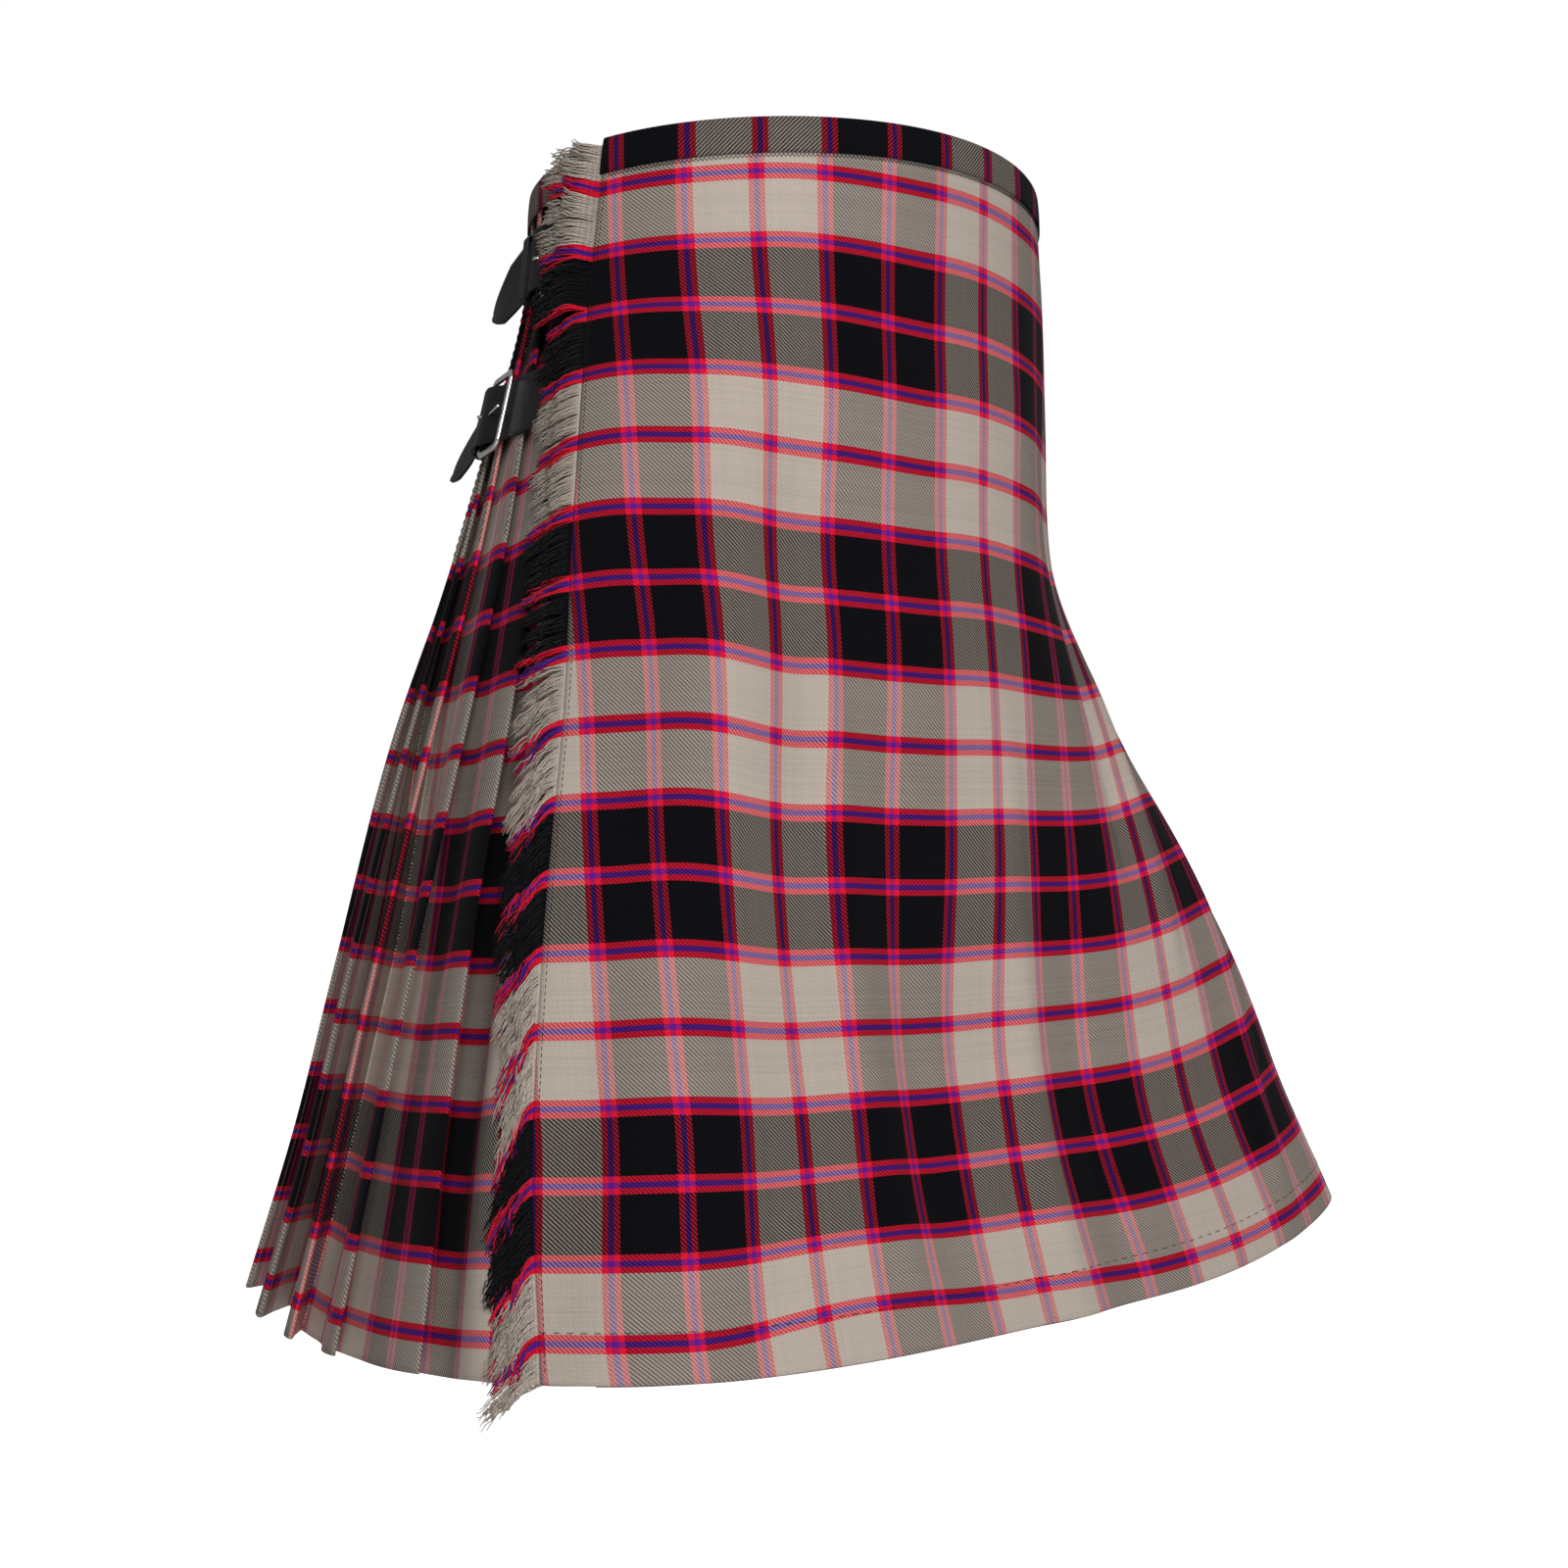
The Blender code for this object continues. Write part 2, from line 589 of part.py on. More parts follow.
def buckle_frame(station):
    """Round wire bent into a rectangle with rounded corners."""
    path = []
    half_long = FRAME_LONG / 2
    half_tall = FRAME_TALL / 2
    for quarter in range(4):
        cx = (half_long - FRAME_CORNER) * (1 if quarter in (0, 3) else -1)
        cy = (half_tall - FRAME_CORNER) * (1 if quarter in (0, 1) else -1)
        for step in range(4):
            angle = math.pi / 2 * (quarter + step / 3)
            path.append((cx + FRAME_CORNER * math.cos(angle), cy + FRAME_CORNER * math.sin(angle), angle))
    sides = 8
    rings = []
    for cx, cy, angle in path:
        turn = np.arange(sides) * 2 * math.pi / sides
        away = WIRE * np.cos(turn)
        x = station.toe + half_long + cx + away * math.cos(angle)
        y = cy + away * math.sin(angle)
        rings.append(station.place(x, y, BAR + WIRE * np.sin(turn)))
    bm = bmesh.new()
    verts = [[bm.verts.new(p) for p in ring] for ring in rings]
    for i, ring in enumerate(verts):
        following = verts[(i + 1) % len(verts)]
        for a in range(sides):
            b = (a + 1) % sides
            bm.faces.new((ring[a], ring[b], following[b], following[a]))
    return finish_object("buckle_frame_" + station.name, bm, NICKEL)


def prong(station):
    """Wire that hooks round the heel bar and rests over the front bar."""
    hook = WIRE + SEAM + PRONG
    path = [(station.heel + hook * math.cos(a), BAR + hook * math.sin(a))
            for a in np.radians([-130.0, -95.0, -55.0, -15.0, 25.0, 65.0, 95.0])]
    path += [(station.heel - 0.010, BAR + hook), (station.toe + 0.006, BAR + hook),
             (station.toe - 0.002, BAR + hook), (station.toe - 0.004, BAR + hook - 0.0002)]
    sizes = [1.0] * (len(path) - 2) + [0.85, 0.45]
    line = np.array(path)
    way = np.gradient(line, axis=0)
    way /= np.linalg.norm(way, axis=1, keepdims=True)
    sides = 6
    turn = np.arange(sides) * 2 * math.pi / sides
    bm = bmesh.new()
    rings = []
    for (x, h), (dx, dh), size in zip(line, way, sizes):
        lift = PRONG * size * np.cos(turn)
        points = station.place(x - dh * lift, PRONG * size * np.sin(turn), h + dx * lift)
        rings.append([bm.verts.new(p) for p in points])
    for first, second in zip(rings, rings[1:]):
        for a in range(sides):
            b = (a + 1) % sides
            bm.faces.new((first[a], first[b], second[b], second[a]))
    bm.faces.new(rings[0])
    bm.faces.new(rings[-1][::-1])
    return finish_object("buckle_prong_" + station.name, bm, NICKEL)


def chape(station):
    """Leather tab folded round the heel bar and sewn to the pleats behind it."""
    wrap = WIRE + SEAM + CHAPE_THICK / 2
    low = REST + CHAPE_THICK / 2
    high = low + SEAM + CHAPE_THICK
    back = station.heel + CHAPE_LONG
    middle = station.heel + (CHAPE_LONG + 0.008) / 2
    line = [(back, low), (middle, low), (station.heel + 0.008, low)]
    line += [(station.heel + wrap * math.cos(a), BAR + wrap * math.sin(a))
             for a in np.radians([-80.0, -120.0, -160.0, -200.0, -240.0, -280.0])]
    line += [(station.heel + 0.0085, high + 0.0002), (middle, high), (back, high)]
    half = STRAP_WIDTH / 2 - 0.001
    across = np.array([[half, 0.0015, -0.0015, -half]])
    grids = []
    for distance in (CHAPE_THICK / 2, -CHAPE_THICK / 2):
        moved = offset_line(line, distance)
        x = moved[:, :1] + 0.0 * across
        grids.append(station.place(x, across + 0.0 * x, moved[:, 1:] + 0.0 * across))
    slot = np.zeros((len(line) - 1, 3), bool)
    slot[2:-2, 1] = True
    return wall("buckle_chape_" + station.name, grids[0], grids[1], LEATHER, slot)


def keeper(station):
    """Leather loop that holds the strap down behind the buckle."""
    side = STRAP_WIDTH / 2 + SEAM + CHAPE_THICK / 2
    top = STRAP_ON_PAD + STRAP_THICK / 2 + 5 * SEAM + CHAPE_THICK / 2
    line = [(-side, SEAM), (-side, top - 0.001), (-side + 0.001, top), (side - 0.001, top),
            (side, top - 0.001), (side, SEAM)]
    along = np.array([[0.016, 0.022]]) + station.heel
    grids = []
    for distance in (CHAPE_THICK / 2, -CHAPE_THICK / 2):
        moved = offset_line(line, distance)
        y = moved[:, :1] + 0.0 * along
        grids.append(station.place(along + 0.0 * y, y, moved[:, 1:] + 0.0 * along))
    return wall("keeper_" + station.name, grids[0], grids[1], LEATHER)


# ---- Assembly ----------------------------------------------------------------------
for leftover in list(bpy.data.objects):
    bpy.data.objects.remove(leftover)

over_apron()
under_apron()
pleats()
waistbands()
fringe("fringe_outer", -0.0025, 0.0022, 0.0, (0.017, 0.011), 0.45, CLOTH,
       ((0.45, 0.75, 1.0),))
fringe("fringe_inner", 0.0, 0.0045, INNER_FRINGE_OUT, (0.037, 0.030), 0.50, FRINGE_THICK,
       ((0.07, 0.85, 0.0), (0.33, 0.75, 1.0)))
for strap_name in STRAPS:
    here = Station(strap_name)
    strap(here)
    buckle_frame(here)
    prong(here)
    chape(here)
    keeper(here)
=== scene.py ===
"""A worn Scottish kilt: checked twill aprons and knife pleats, fringe, leather straps and buckles.

Metres, +Z up. The wearer faces -Y, with the right hand at -X. The cloth's places are given by
arc (round the body from the centre front, positive to the wearer's left), drop (down the
cloth from the top edge) and out (off the cloth surface, away from the body).
"""
import math

import bpy
import numpy as np
from mathutils import Matrix, Vector


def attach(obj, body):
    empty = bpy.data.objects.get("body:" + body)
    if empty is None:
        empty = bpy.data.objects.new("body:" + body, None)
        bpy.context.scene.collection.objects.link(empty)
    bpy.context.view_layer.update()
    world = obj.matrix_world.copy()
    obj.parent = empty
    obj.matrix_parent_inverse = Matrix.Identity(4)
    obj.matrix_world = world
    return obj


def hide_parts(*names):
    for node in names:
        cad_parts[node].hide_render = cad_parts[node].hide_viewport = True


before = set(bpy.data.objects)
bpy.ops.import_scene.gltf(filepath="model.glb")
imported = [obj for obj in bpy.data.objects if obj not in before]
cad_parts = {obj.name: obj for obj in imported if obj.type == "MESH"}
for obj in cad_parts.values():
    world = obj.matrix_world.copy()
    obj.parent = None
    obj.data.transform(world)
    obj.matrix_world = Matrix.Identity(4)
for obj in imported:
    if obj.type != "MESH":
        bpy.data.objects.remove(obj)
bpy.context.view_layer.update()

bpy.ops.object.select_all(action="DESELECT")

# ---- Over apron ----------------------------------------------------------------------
# The flat front panel, cut from a 2/2 wool twill and hung from the waist over the figure's
# hips and stride. Its edges are shaped, its hem is turned up, and it closes to the right.
DROP = 0.611
CLOTH = 0.0009                # thickness of the wool
UNDER_OUT = -0.0056           # level of the under apron and of the pleats' fold edges
LEFT_BLEND = 0.045            # width over which the apron comes down to that level
HEM_TURN = 0.022
FOLD_TURN = 0.0012            # cloth to cloth, centre to centre, round a pressed fold
HEM_ROLL = 0.0006             # how far above the lowest point the hem's roll starts
SEAM = 0.0003                 # gap left between two pieces that touch

# Distance of the cloth from the body's centre to the four sides, at each drop.
SECTION_COLUMNS = ("drop", "front", "right", "back", "left")
SECTIONS = (
    (0.000, 0.131, 0.164, 0.128, 0.165),
    (0.060, 0.135, 0.168, 0.134, 0.168),
    (0.130, 0.140, 0.183, 0.158, 0.176),
    (0.200, 0.145, 0.197, 0.186, 0.177),
    (0.300, 0.158, 0.220, 0.230, 0.203),
    (0.420, 0.174, 0.247, 0.264, 0.231),
    (0.520, 0.194, 0.270, 0.288, 0.266),
    (0.611, 0.226, 0.296, 0.314, 0.318),
)
WAIST_TILT = 0.014
# Large soft folds: how proud, bearing at the waist and at the hem, the drops at which the
# fold starts and is full, and half its width. Degrees run from the front to the left.
FOLDS = {
    "right_thigh": (0.011, -69, -65, 0.03, 0.19, 27),
    "front_ridge": (0.014, -56, -62, 0.05, 0.32, 12),
    "between_legs": (-0.014, -29, -22, 0.25, 0.49, 40),
    "front_wave": (0.003, -7, -8, 0.19, 0.50, 8),
    "left_stride": (0.067, 44, 49, 0.20, 0.52, 48),
    "left_pinch": (-0.007, 43, 31, 0.05, 0.17, 27),
}

# Soft creases: where each starts and ends as across (from the apron's centre line) and
# drop, how proud it is, and half its width.
APRON_CREASES = (
    (-0.105, 0.180, -0.085, 0.640, 0.0030, 0.016),
    (-0.070, 0.220, -0.060, 0.640, -0.0030, 0.018),
    (0.020, 0.260, 0.010, 0.640, 0.0022, 0.014),
    (0.055, 0.330, 0.050, 0.640, -0.0022, 0.016),
    (0.120, 0.170, 0.110, 0.420, -0.0045, 0.014),
    (0.145, 0.200, 0.135, 0.480, 0.0035, 0.014),
    (0.200, 0.300, 0.190, 0.640, 0.0028, 0.018),
)


def smooth(t):
    t = np.clip(t, 0.0, 1.0)
    return t * t * (3.0 - 2.0 * t)


SECTION_TABLE = dict(zip(SECTION_COLUMNS, np.array(SECTIONS).T))
SECTION_SLOPES = {name: np.gradient(values, SECTION_TABLE["drop"])
                  for name, values in SECTION_TABLE.items()}


def column(name, drop):
    """Smooth curve through one column of SECTIONS."""
    x = SECTION_TABLE["drop"]
    y = SECTION_TABLE[name]
    slope = SECTION_SLOPES[name]
    k = np.clip(np.searchsorted(x, drop, side="right") - 1, 0, len(x) - 2)
    span = x[k + 1] - x[k]
    t = (drop - x[k]) / span
    rise = (1 + 2 * t) * (1 - t) ** 2 * y[k] + t * t * (3 - 2 * t) * y[k + 1]
    return rise + span * (t * (1 - t) ** 2 * slope[k] - t * t * (1 - t) * slope[k + 1])


def radius(bearing, drop):
    """Distance from the body's centre to the cloth."""
    side = np.where(np.sin(bearing) < 0, column("right", drop), column("left", drop))
    depth = np.where(np.cos(bearing) > 0, column("front", drop), column("back", drop))
    r = 1.0 / np.hypot(np.sin(bearing) / side, np.cos(bearing) / depth)
    for proud, waist, hem, starts, full, half in FOLDS.values():
        centre = waist + (hem - waist) * drop / DROP
        off = (np.degrees(bearing) - centre + 180.0) % 360.0 - 180.0
        bump = np.cos(np.pi / 2 * np.clip(off / half, -1, 1)) ** 2
        r = r + proud * bump * smooth((drop - starts) / (full - starts))
    return r


RING_BEARINGS = np.radians(np.arange(-390.0, 391.0, 1.5))
RING_DROPS = np.linspace(0.0, DROP, 95)
RING_STEP = RING_DROPS[1]


def rings():
    """Points of the cloth surface at every ring drop and bearing, and their arcs."""
    r = radius(RING_BEARINGS[None, :], RING_DROPS[:, None])
    steps = np.sqrt(np.maximum(RING_STEP ** 2 - np.diff(r, axis=0) ** 2, 0.0))
    fall = np.concatenate([np.zeros((1, r.shape[1])), np.cumsum(steps, axis=0)])
    z = WAIST_TILT * np.cos(RING_BEARINGS) - fall
    points = np.stack([r * np.sin(RING_BEARINGS), -r * np.cos(RING_BEARINGS), z], axis=-1)
    lengths = np.linalg.norm(np.diff(points, axis=1), axis=-1)
    arcs = np.concatenate([np.zeros((len(RING_DROPS), 1)), np.cumsum(lengths, axis=1)], axis=1)
    front = np.argmin(np.abs(RING_BEARINGS))
    return points, arcs - arcs[:, front:front + 1]


RINGS, ARCS = rings()
DOWN = np.gradient(RINGS, axis=0)
AROUND = np.gradient(RINGS, axis=1)
NORMALS = np.cross(DOWN, AROUND)
NORMALS /= np.linalg.norm(NORMALS, axis=-1, keepdims=True)


def between(table, row, across):
    """Value of a ring table at fractional row and column numbers."""
    r = np.clip(row.astype(int), 0, table.shape[0] - 2)
    c = np.clip(across.astype(int), 0, table.shape[1] - 2)
    u = (row - r)[..., None]
    v = (across - c)[..., None]
    upper = table[r, c] * (1 - v) + table[r, c + 1] * v
    lower = table[r + 1, c] * (1 - v) + table[r + 1, c + 1] * v
    return upper * (1 - u) + lower * u


def on_cloth(arc, drop, out):
    """Points at the given arc, drop and out; past the hem they go straight on down."""
    arc, drop, out = np.broadcast_arrays(*(np.asarray(a, float) for a in (arc, drop, out)))
    row = np.clip(drop, 0.0, DROP) / RING_STEP
    low = np.clip(row.astype(int), 0, len(RING_DROPS) - 2)
    columns = np.arange(len(RING_BEARINGS))
    across = np.empty((2,) + arc.shape)
    for ring in np.unique(low):
        here = low == ring
        for k in (0, 1):
            across[k][here] = np.interp(arc[here], ARCS[ring + k], columns)
    share = row - low
    where = across[0] * (1 - share) + across[1] * share
    point = between(RINGS, row, where)
    down = between(DOWN, row, where)
    down /= np.linalg.norm(down, axis=-1, keepdims=True)
    beyond = (drop - np.clip(drop, 0.0, DROP))[..., None]
    return point + out[..., None] * between(NORMALS, row, where) + beyond * down


def centre_line(drop):
    waist, hem = -0.0125, -0.039
    return waist + (hem - waist) * np.clip(drop, 0.0, DROP) / DROP


def half_apron(drop):
    waist, hem = 0.2035, 0.292
    return waist + (hem - waist) * np.clip(drop, 0.0, DROP) / DROP


def right_edge(drop):
    return centre_line(drop) - half_apron(drop)


def left_edge(drop):
    return centre_line(drop) + half_apron(drop)


def creased(creases, across, drop):
    """How far the creases lift or sink each place."""
    total = np.zeros(np.broadcast(across, drop).shape)
    for across_top, drop_top, across_low, drop_low, proud, half in creases:
        way = np.array([across_low - across_top, drop_low - drop_top])
        length = np.linalg.norm(way)
        way /= length
        along = ((across - across_top) * way[0] + (drop - drop_top) * way[1]) / length
        aside = (across - across_top) * way[1] - (drop - drop_top) * way[0]
        taper = smooth(along / 0.35) * smooth((1 - along) / 0.25)
        total = total + proud * taper * np.cos(np.pi / 2 * np.clip(aside / half, -1, 1)) ** 2
    return total


def apron_level(arc, drop):
    """Out of the over apron: its creases, and its left side that comes down to the seam."""
    level = UNDER_OUT * smooth((arc - left_edge(drop) + LEFT_BLEND) / LEFT_BLEND)
    return level + creased(APRON_CREASES, arc - centre_line(drop), drop)


def on_apron(across, drop, out=0.0):
    """Points of the over apron, given across from its centre line."""
    arc = centre_line(drop) + across
    return on_cloth(arc, drop, apron_level(arc, drop) + out)


# How far the woven pattern is moved to lie true on the worn form, in mm: rows run down the
# drop and columns across, from DRAWN_FROM by DRAWN_STEP.
DRAWN_FROM = -0.32
DRAWN_STEP = 0.10
DRAWN_ASIDE = (
    (-7, -7, -13, -19, -22, -16),
    (-9, -9, -14, -13, -14, -5),
    (-7, -7, -6, -8, -1, 7),
    (-5, -5, 1, -6, 8, 17),
    (5, -5, -2, 5, 13, 15),
    (19, 8, 8, 12, 4, -4),
)
DRAWN_DOWN = (
    (4, 4, 3, -1, -3, -4),
    (10, 10, 3, -6, -10, -8),
    (6, 6, -3, -9, -15, -11),
    (1, 1, -5, -10, -13, -10),
    (-2, -2, -3, -7, -8, -7),
    (-1, -1, 8, 1, -4, -5),
)


def drawn(table, across, drop):
    """Smooth surface through one of the two tables above."""
    row = np.clip(drop, 0.0, DROP) / DROP * (len(table) - 1)
    place = np.clip((across - DRAWN_FROM) / DRAWN_STEP, 0, len(table[0]) - 1)
    total = 0.0
    for r, values in enumerate(table):
        for c, value in enumerate(values):
            total = total + value * smooth(1 - abs(row - r)) * smooth(1 - abs(place - c))
    return total / 1000


def apron_weave(across, drop, weft):
    """Place in the woven pattern of points of the over apron."""
    aside = across + drawn(DRAWN_ASIDE, across, drop)
    down = weft + drawn(DRAWN_DOWN, across, drop)
    return np.stack(np.broadcast_arrays(aside, down), axis=-1)


def sheet_object(name, points, weave, material, thickness=CLOTH):
    """Cloth from a grid of points; weave gives each point's place in the woven pattern."""
    columns, rows = points.shape[:2]
    index = np.arange(columns * rows).reshape(columns, rows)
    faces = np.stack([index[:-1, :-1], index[:-1, 1:], index[1:, 1:], index[1:, :-1]], axis=-1)
    mesh = bpy.data.meshes.new(name)
    mesh.from_pydata(points.reshape(-1, 3).tolist(), [], faces.reshape(-1, 4).tolist())
    corners = np.zeros(len(mesh.loops), int)
    mesh.loops.foreach_get("vertex_index", corners)
    uv = mesh.uv_layers.new(name="weave")
    uv.data.foreach_set("uv", weave.reshape(-1, 2)[corners].ravel())
    mesh.shade_smooth()
    obj = bpy.data.objects.new(name, mesh)
    bpy.context.scene.collection.objects.link(obj)
    obj.data.materials.append(material)
    bpy.context.view_layer.objects.active = obj
    solidify = obj.modifiers.new("thickness", "SOLIDIFY")
    solidify.thickness = thickness
    solidify.offset = 0.0
    bpy.ops.object.modifier_apply(modifier=solidify.name)
    return obj


class Shader:
    """A shader tree that is built node by node."""

    def __init__(self, tree):
        self.tree = tree

    def add(self, kind, *inputs, **settings):
        node = self.tree.nodes.new("ShaderNode" + kind)
        for name, value in settings.items():
            setattr(node, name, value)
        for socket, value in zip(node.inputs, inputs):
            self.join(socket, value)
        return node

    def join(self, socket, value):
        if isinstance(value, bpy.types.NodeSocket):
            self.tree.links.new(value, socket)
        elif value is not None:
            socket.default_value = value

    def math(self, operation, *inputs):
        return self.add("Math", *inputs, operation=operation).outputs[0]

    def mix(self, factor, first, second, blend="MIX"):
        node = self.add("Mix", data_type="RGBA", blend_type=blend)
        for socket, value in zip((node.inputs[0], node.inputs[6], node.inputs[7]),
                                 (factor, first, second)):
            self.join(socket, value)
        return node.outputs[2]

    def group(self, shared, **inputs):
        node = self.tree.nodes.new("ShaderNodeGroup")
        node.node_tree = shared
        for name, value in inputs.items():
            self.join(node.inputs[name], value)
        return node.outputs


def new_group(name, inputs, outputs):
    """An empty node group with its named sockets, its shader and its two end nodes."""
    tree = bpy.data.node_groups.new(name, "ShaderNodeTree")
    for socket, kind in inputs.items():
        tree.interface.new_socket(socket, in_out="INPUT", socket_type="NodeSocket" + kind)
    for socket, kind in outputs.items():
        tree.interface.new_socket(socket, in_out="OUTPUT", socket_type="NodeSocket" + kind)
    ends = tree.nodes.new("NodeGroupInput"), tree.nodes.new("NodeGroupOutput")
    return tree, Shader(tree), ends[0].outputs, ends[1].inputs


def new_material(name):
    material = bpy.data.materials.new(name)
    material.use_nodes = True
    shader = Shader(material.node_tree)
    principled = material.node_tree.nodes["Principled BSDF"]
    return material, shader, principled.inputs


STONE = (0.440, 0.378, 0.325, 1.0)
BLACK = (0.0035, 0.0036, 0.0052, 1.0)
RED = (0.660, 0.008, 0.034, 1.0)
BLUE = (0.085, 0.012, 0.240, 1.0)
WARP_BLOCK = 0.0343           # line to line, across the cloth
WEFT_BLOCK = 0.0352           # line to line, down the cloth
FIRST_WEFT_LINE = 0.0295
BLUE_HALF = 0.037             # half a blue line, in blocks
LINE_HALF = 0.118             # half a whole red, blue and red line, in blocks
YARN = 0.00054                # yarn to yarn
WARP_SHARE = 0.38             # share of the twill's face in which the warp is on top


def sett_group():
    """Colour of a yarn by its place: pairs of stone and black blocks, parted by lines."""
    tree, s, place, result = new_group("sett", {"Blocks": "Float"}, {"Color": "Color"})
    blocks = place["Blocks"]
    pair = s.math("FRACT", s.math("MULTIPLY", s.math("ADD", blocks, 1.0), 0.25))
    ground = s.mix(s.math("GREATER_THAN", pair, 0.5), STONE, BLACK)
    off = s.math("ABSOLUTE", s.math("SUBTRACT", s.math("FRACT", s.math("ADD", blocks, 0.5)), 0.5))
    lined = s.mix(s.math("LESS_THAN", off, LINE_HALF), ground, RED)
    s.join(result["Color"], s.mix(s.math("LESS_THAN", off, BLUE_HALF), lined, BLUE))
    return tree


SETT = sett_group()


def twill_group():
    """Colour and relief of the woven twill at a place across (warp) and down (weft); the colour
    carries painted shade on each yarn's sides and between the yarns.
    """
    tree, s, place, result = new_group(
        "twill", {"Warp": "Float", "Weft": "Float"}, {"Color": "Color", "Height": "Float"})
    warp = s.math("DIVIDE", place["Warp"], YARN)
    weft = s.math("DIVIDE", place["Weft"], YARN)
    warp_yarn = s.math("FLOOR", warp)
    weft_yarn = s.math("FLOOR", weft)
    step = s.math("FRACT", s.math("MULTIPLY", s.math("SUBTRACT", warp, weft_yarn), 0.25))
    warp_up = s.math("LESS_THAN", step, WARP_SHARE)
    warp_color = s.group(SETT, Blocks=s.math("DIVIDE", place["Warp"], WARP_BLOCK))["Color"]
    down = s.math("SUBTRACT", place["Weft"], FIRST_WEFT_LINE)
    weft_color = s.group(SETT, Blocks=s.math("DIVIDE", down, WEFT_BLOCK))["Color"]
    mixed = s.mix(s.math("MULTIPLY_ADD", warp_up, 0.70, 0.08), weft_color, warp_color)
    # 22% of the darker of the two yarns' colours is mixed in: painted shade between the yarns, so
    # the dark yarns seem to cover more.
    color = s.mix(0.22, mixed, s.mix(1.0, weft_color, warp_color, "DARKEN"))
    round_warp = s.math("ABSOLUTE", s.math("SINE", s.math("MULTIPLY", warp, math.pi)))
    round_weft = s.math("ABSOLUTE", s.math("SINE", s.math("MULTIPLY", weft, math.pi)))
    up = s.math("MULTIPLY", round_warp, warp_up)
    across = s.math("MULTIPLY", round_weft, s.math("SUBTRACT", 1.0, warp_up))
    height = s.math("ADD", up, across)
    # Painted shade: the colour follows each yarn's round relief, from 0.76 at its sides to 1.06 on
    # its crown.
    shade = s.math("MULTIPLY_ADD", height, 0.30, 0.76)
    number = s.math("ADD", s.math("MULTIPLY", warp_yarn, warp_up),
                    s.math("MULTIPLY", s.math("MULTIPLY", weft_yarn, 1.37),
                           s.math("SUBTRACT", 1.0, warp_up)))
    # Each yarn's tone also differs at random; from here shade carries that tone as well as the
    # painted shade.
    uneven = s.add("TexWhiteNoise", noise_dimensions="1D")
    s.join(uneven.inputs["W"], number)
    shade = s.math("MULTIPLY", shade, s.math("MULTIPLY_ADD", uneven.outputs["Value"], 0.14, 0.93))
    s.join(result["Color"], s.mix(1.0, color, shade, "MULTIPLY"))
    s.join(result["Height"], height)
    return tree


TWILL = twill_group()


def wool(name, roughness):
    """Woven wool that reads its place in the pattern from the weave map."""
    material, s, surface = new_material(name)
    place = s.add("UVMap", uv_map="weave").outputs["UV"]
    parts = s.add("SeparateXYZ", place).outputs
    woven = s.group(TWILL, Warp=parts["X"], Weft=parts["Y"])
    spot = s.add("TexCoord").outputs["Object"]
    cloudy = s.add("TexNoise", spot, None, 9.0, 3.0).outputs["Fac"]
    tone = s.math("MULTIPLY_ADD", cloudy, 0.16, 0.92)
    s.join(surface["Base Color"], s.mix(1.0, woven["Color"], tone, "MULTIPLY"))
    fuzz = s.add("TexNoise", spot, None, 2600.0, 2.0).outputs["Fac"]
    height = s.math("MULTIPLY_ADD", fuzz, 0.5, woven["Height"])
    bump = s.add("Bump", 0.35, 0.00022)
    s.join(bump.inputs["Height"], height)
    s.join(surface["Normal"], bump.outputs["Normal"])
    surface["Roughness"].default_value = roughness
    surface["Specular IOR Level"].default_value = 0.04
    surface["Sheen Weight"].default_value = 0.015
    surface["Sheen Roughness"].default_value = 0.5
    return material


TARTAN = wool("tartan_wool", 0.88)


def turned_hem(drops):
    """Rows of a sheet with a hem that is turned up inside: drop, out and cloth place."""
    down = [(d, 0.0, d) for d in drops]
    round_fold = [(DROP, -FOLD_TURN * 0.5, DROP + HEM_ROLL)]
    up = [(DROP - x, -FOLD_TURN, DROP + 2 * HEM_ROLL + x)
          for x in (HEM_ROLL, 0.008, 0.015, HEM_TURN)]
    return np.array(down + round_fold + up).T


def over_apron():
    share = np.linspace(0.0, 1.0, 165)[:, None]
    drop, out, weft = turned_hem(np.linspace(0.0, DROP - HEM_ROLL, 200))
    across = (half_apron(drop) - SEAM) * (2 * share - 1)
    points = on_apron(across, drop[None, :], out[None, :])
    apron = sheet_object("over_apron", points, apron_weave(across, drop, weft[None, :]), TARTAN)
    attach(apron, "root")
    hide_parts("apron_over")


over_apron()

# ---- Under apron ---------------------------------------------------------------------
# A second flat panel of the same twill that lies under the first. It is joined to the
# first pleat at the right and buckled at the left through the slot in the seam.
APRON_OVERLAP = 0.026         # how far the pleats start inside the over apron's edge
UNDER_SHORT = 0.052           # how far the panel stops short of the left seam


def pleat_start(drop):
    return right_edge(drop) + APRON_OVERLAP


def under_apron():
    share = np.linspace(0.0, 1.0, 110)[:, None]
    drop, out, weft = turned_hem(np.linspace(0.0, DROP - HEM_ROLL, 110))
    right = pleat_start(drop) + SEAM
    arc = right * (1 - share) + (left_edge(drop) - UNDER_SHORT) * share
    points = on_cloth(arc, drop[None, :], UNDER_OUT + out[None, :])
    weave = np.stack(np.broadcast_arrays(arc, weft[None, :]), axis=-1)
    apron = sheet_object("under_apron", points, weave, TARTAN)
    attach(apron, "root")
    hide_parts("apron_under")


under_apron()

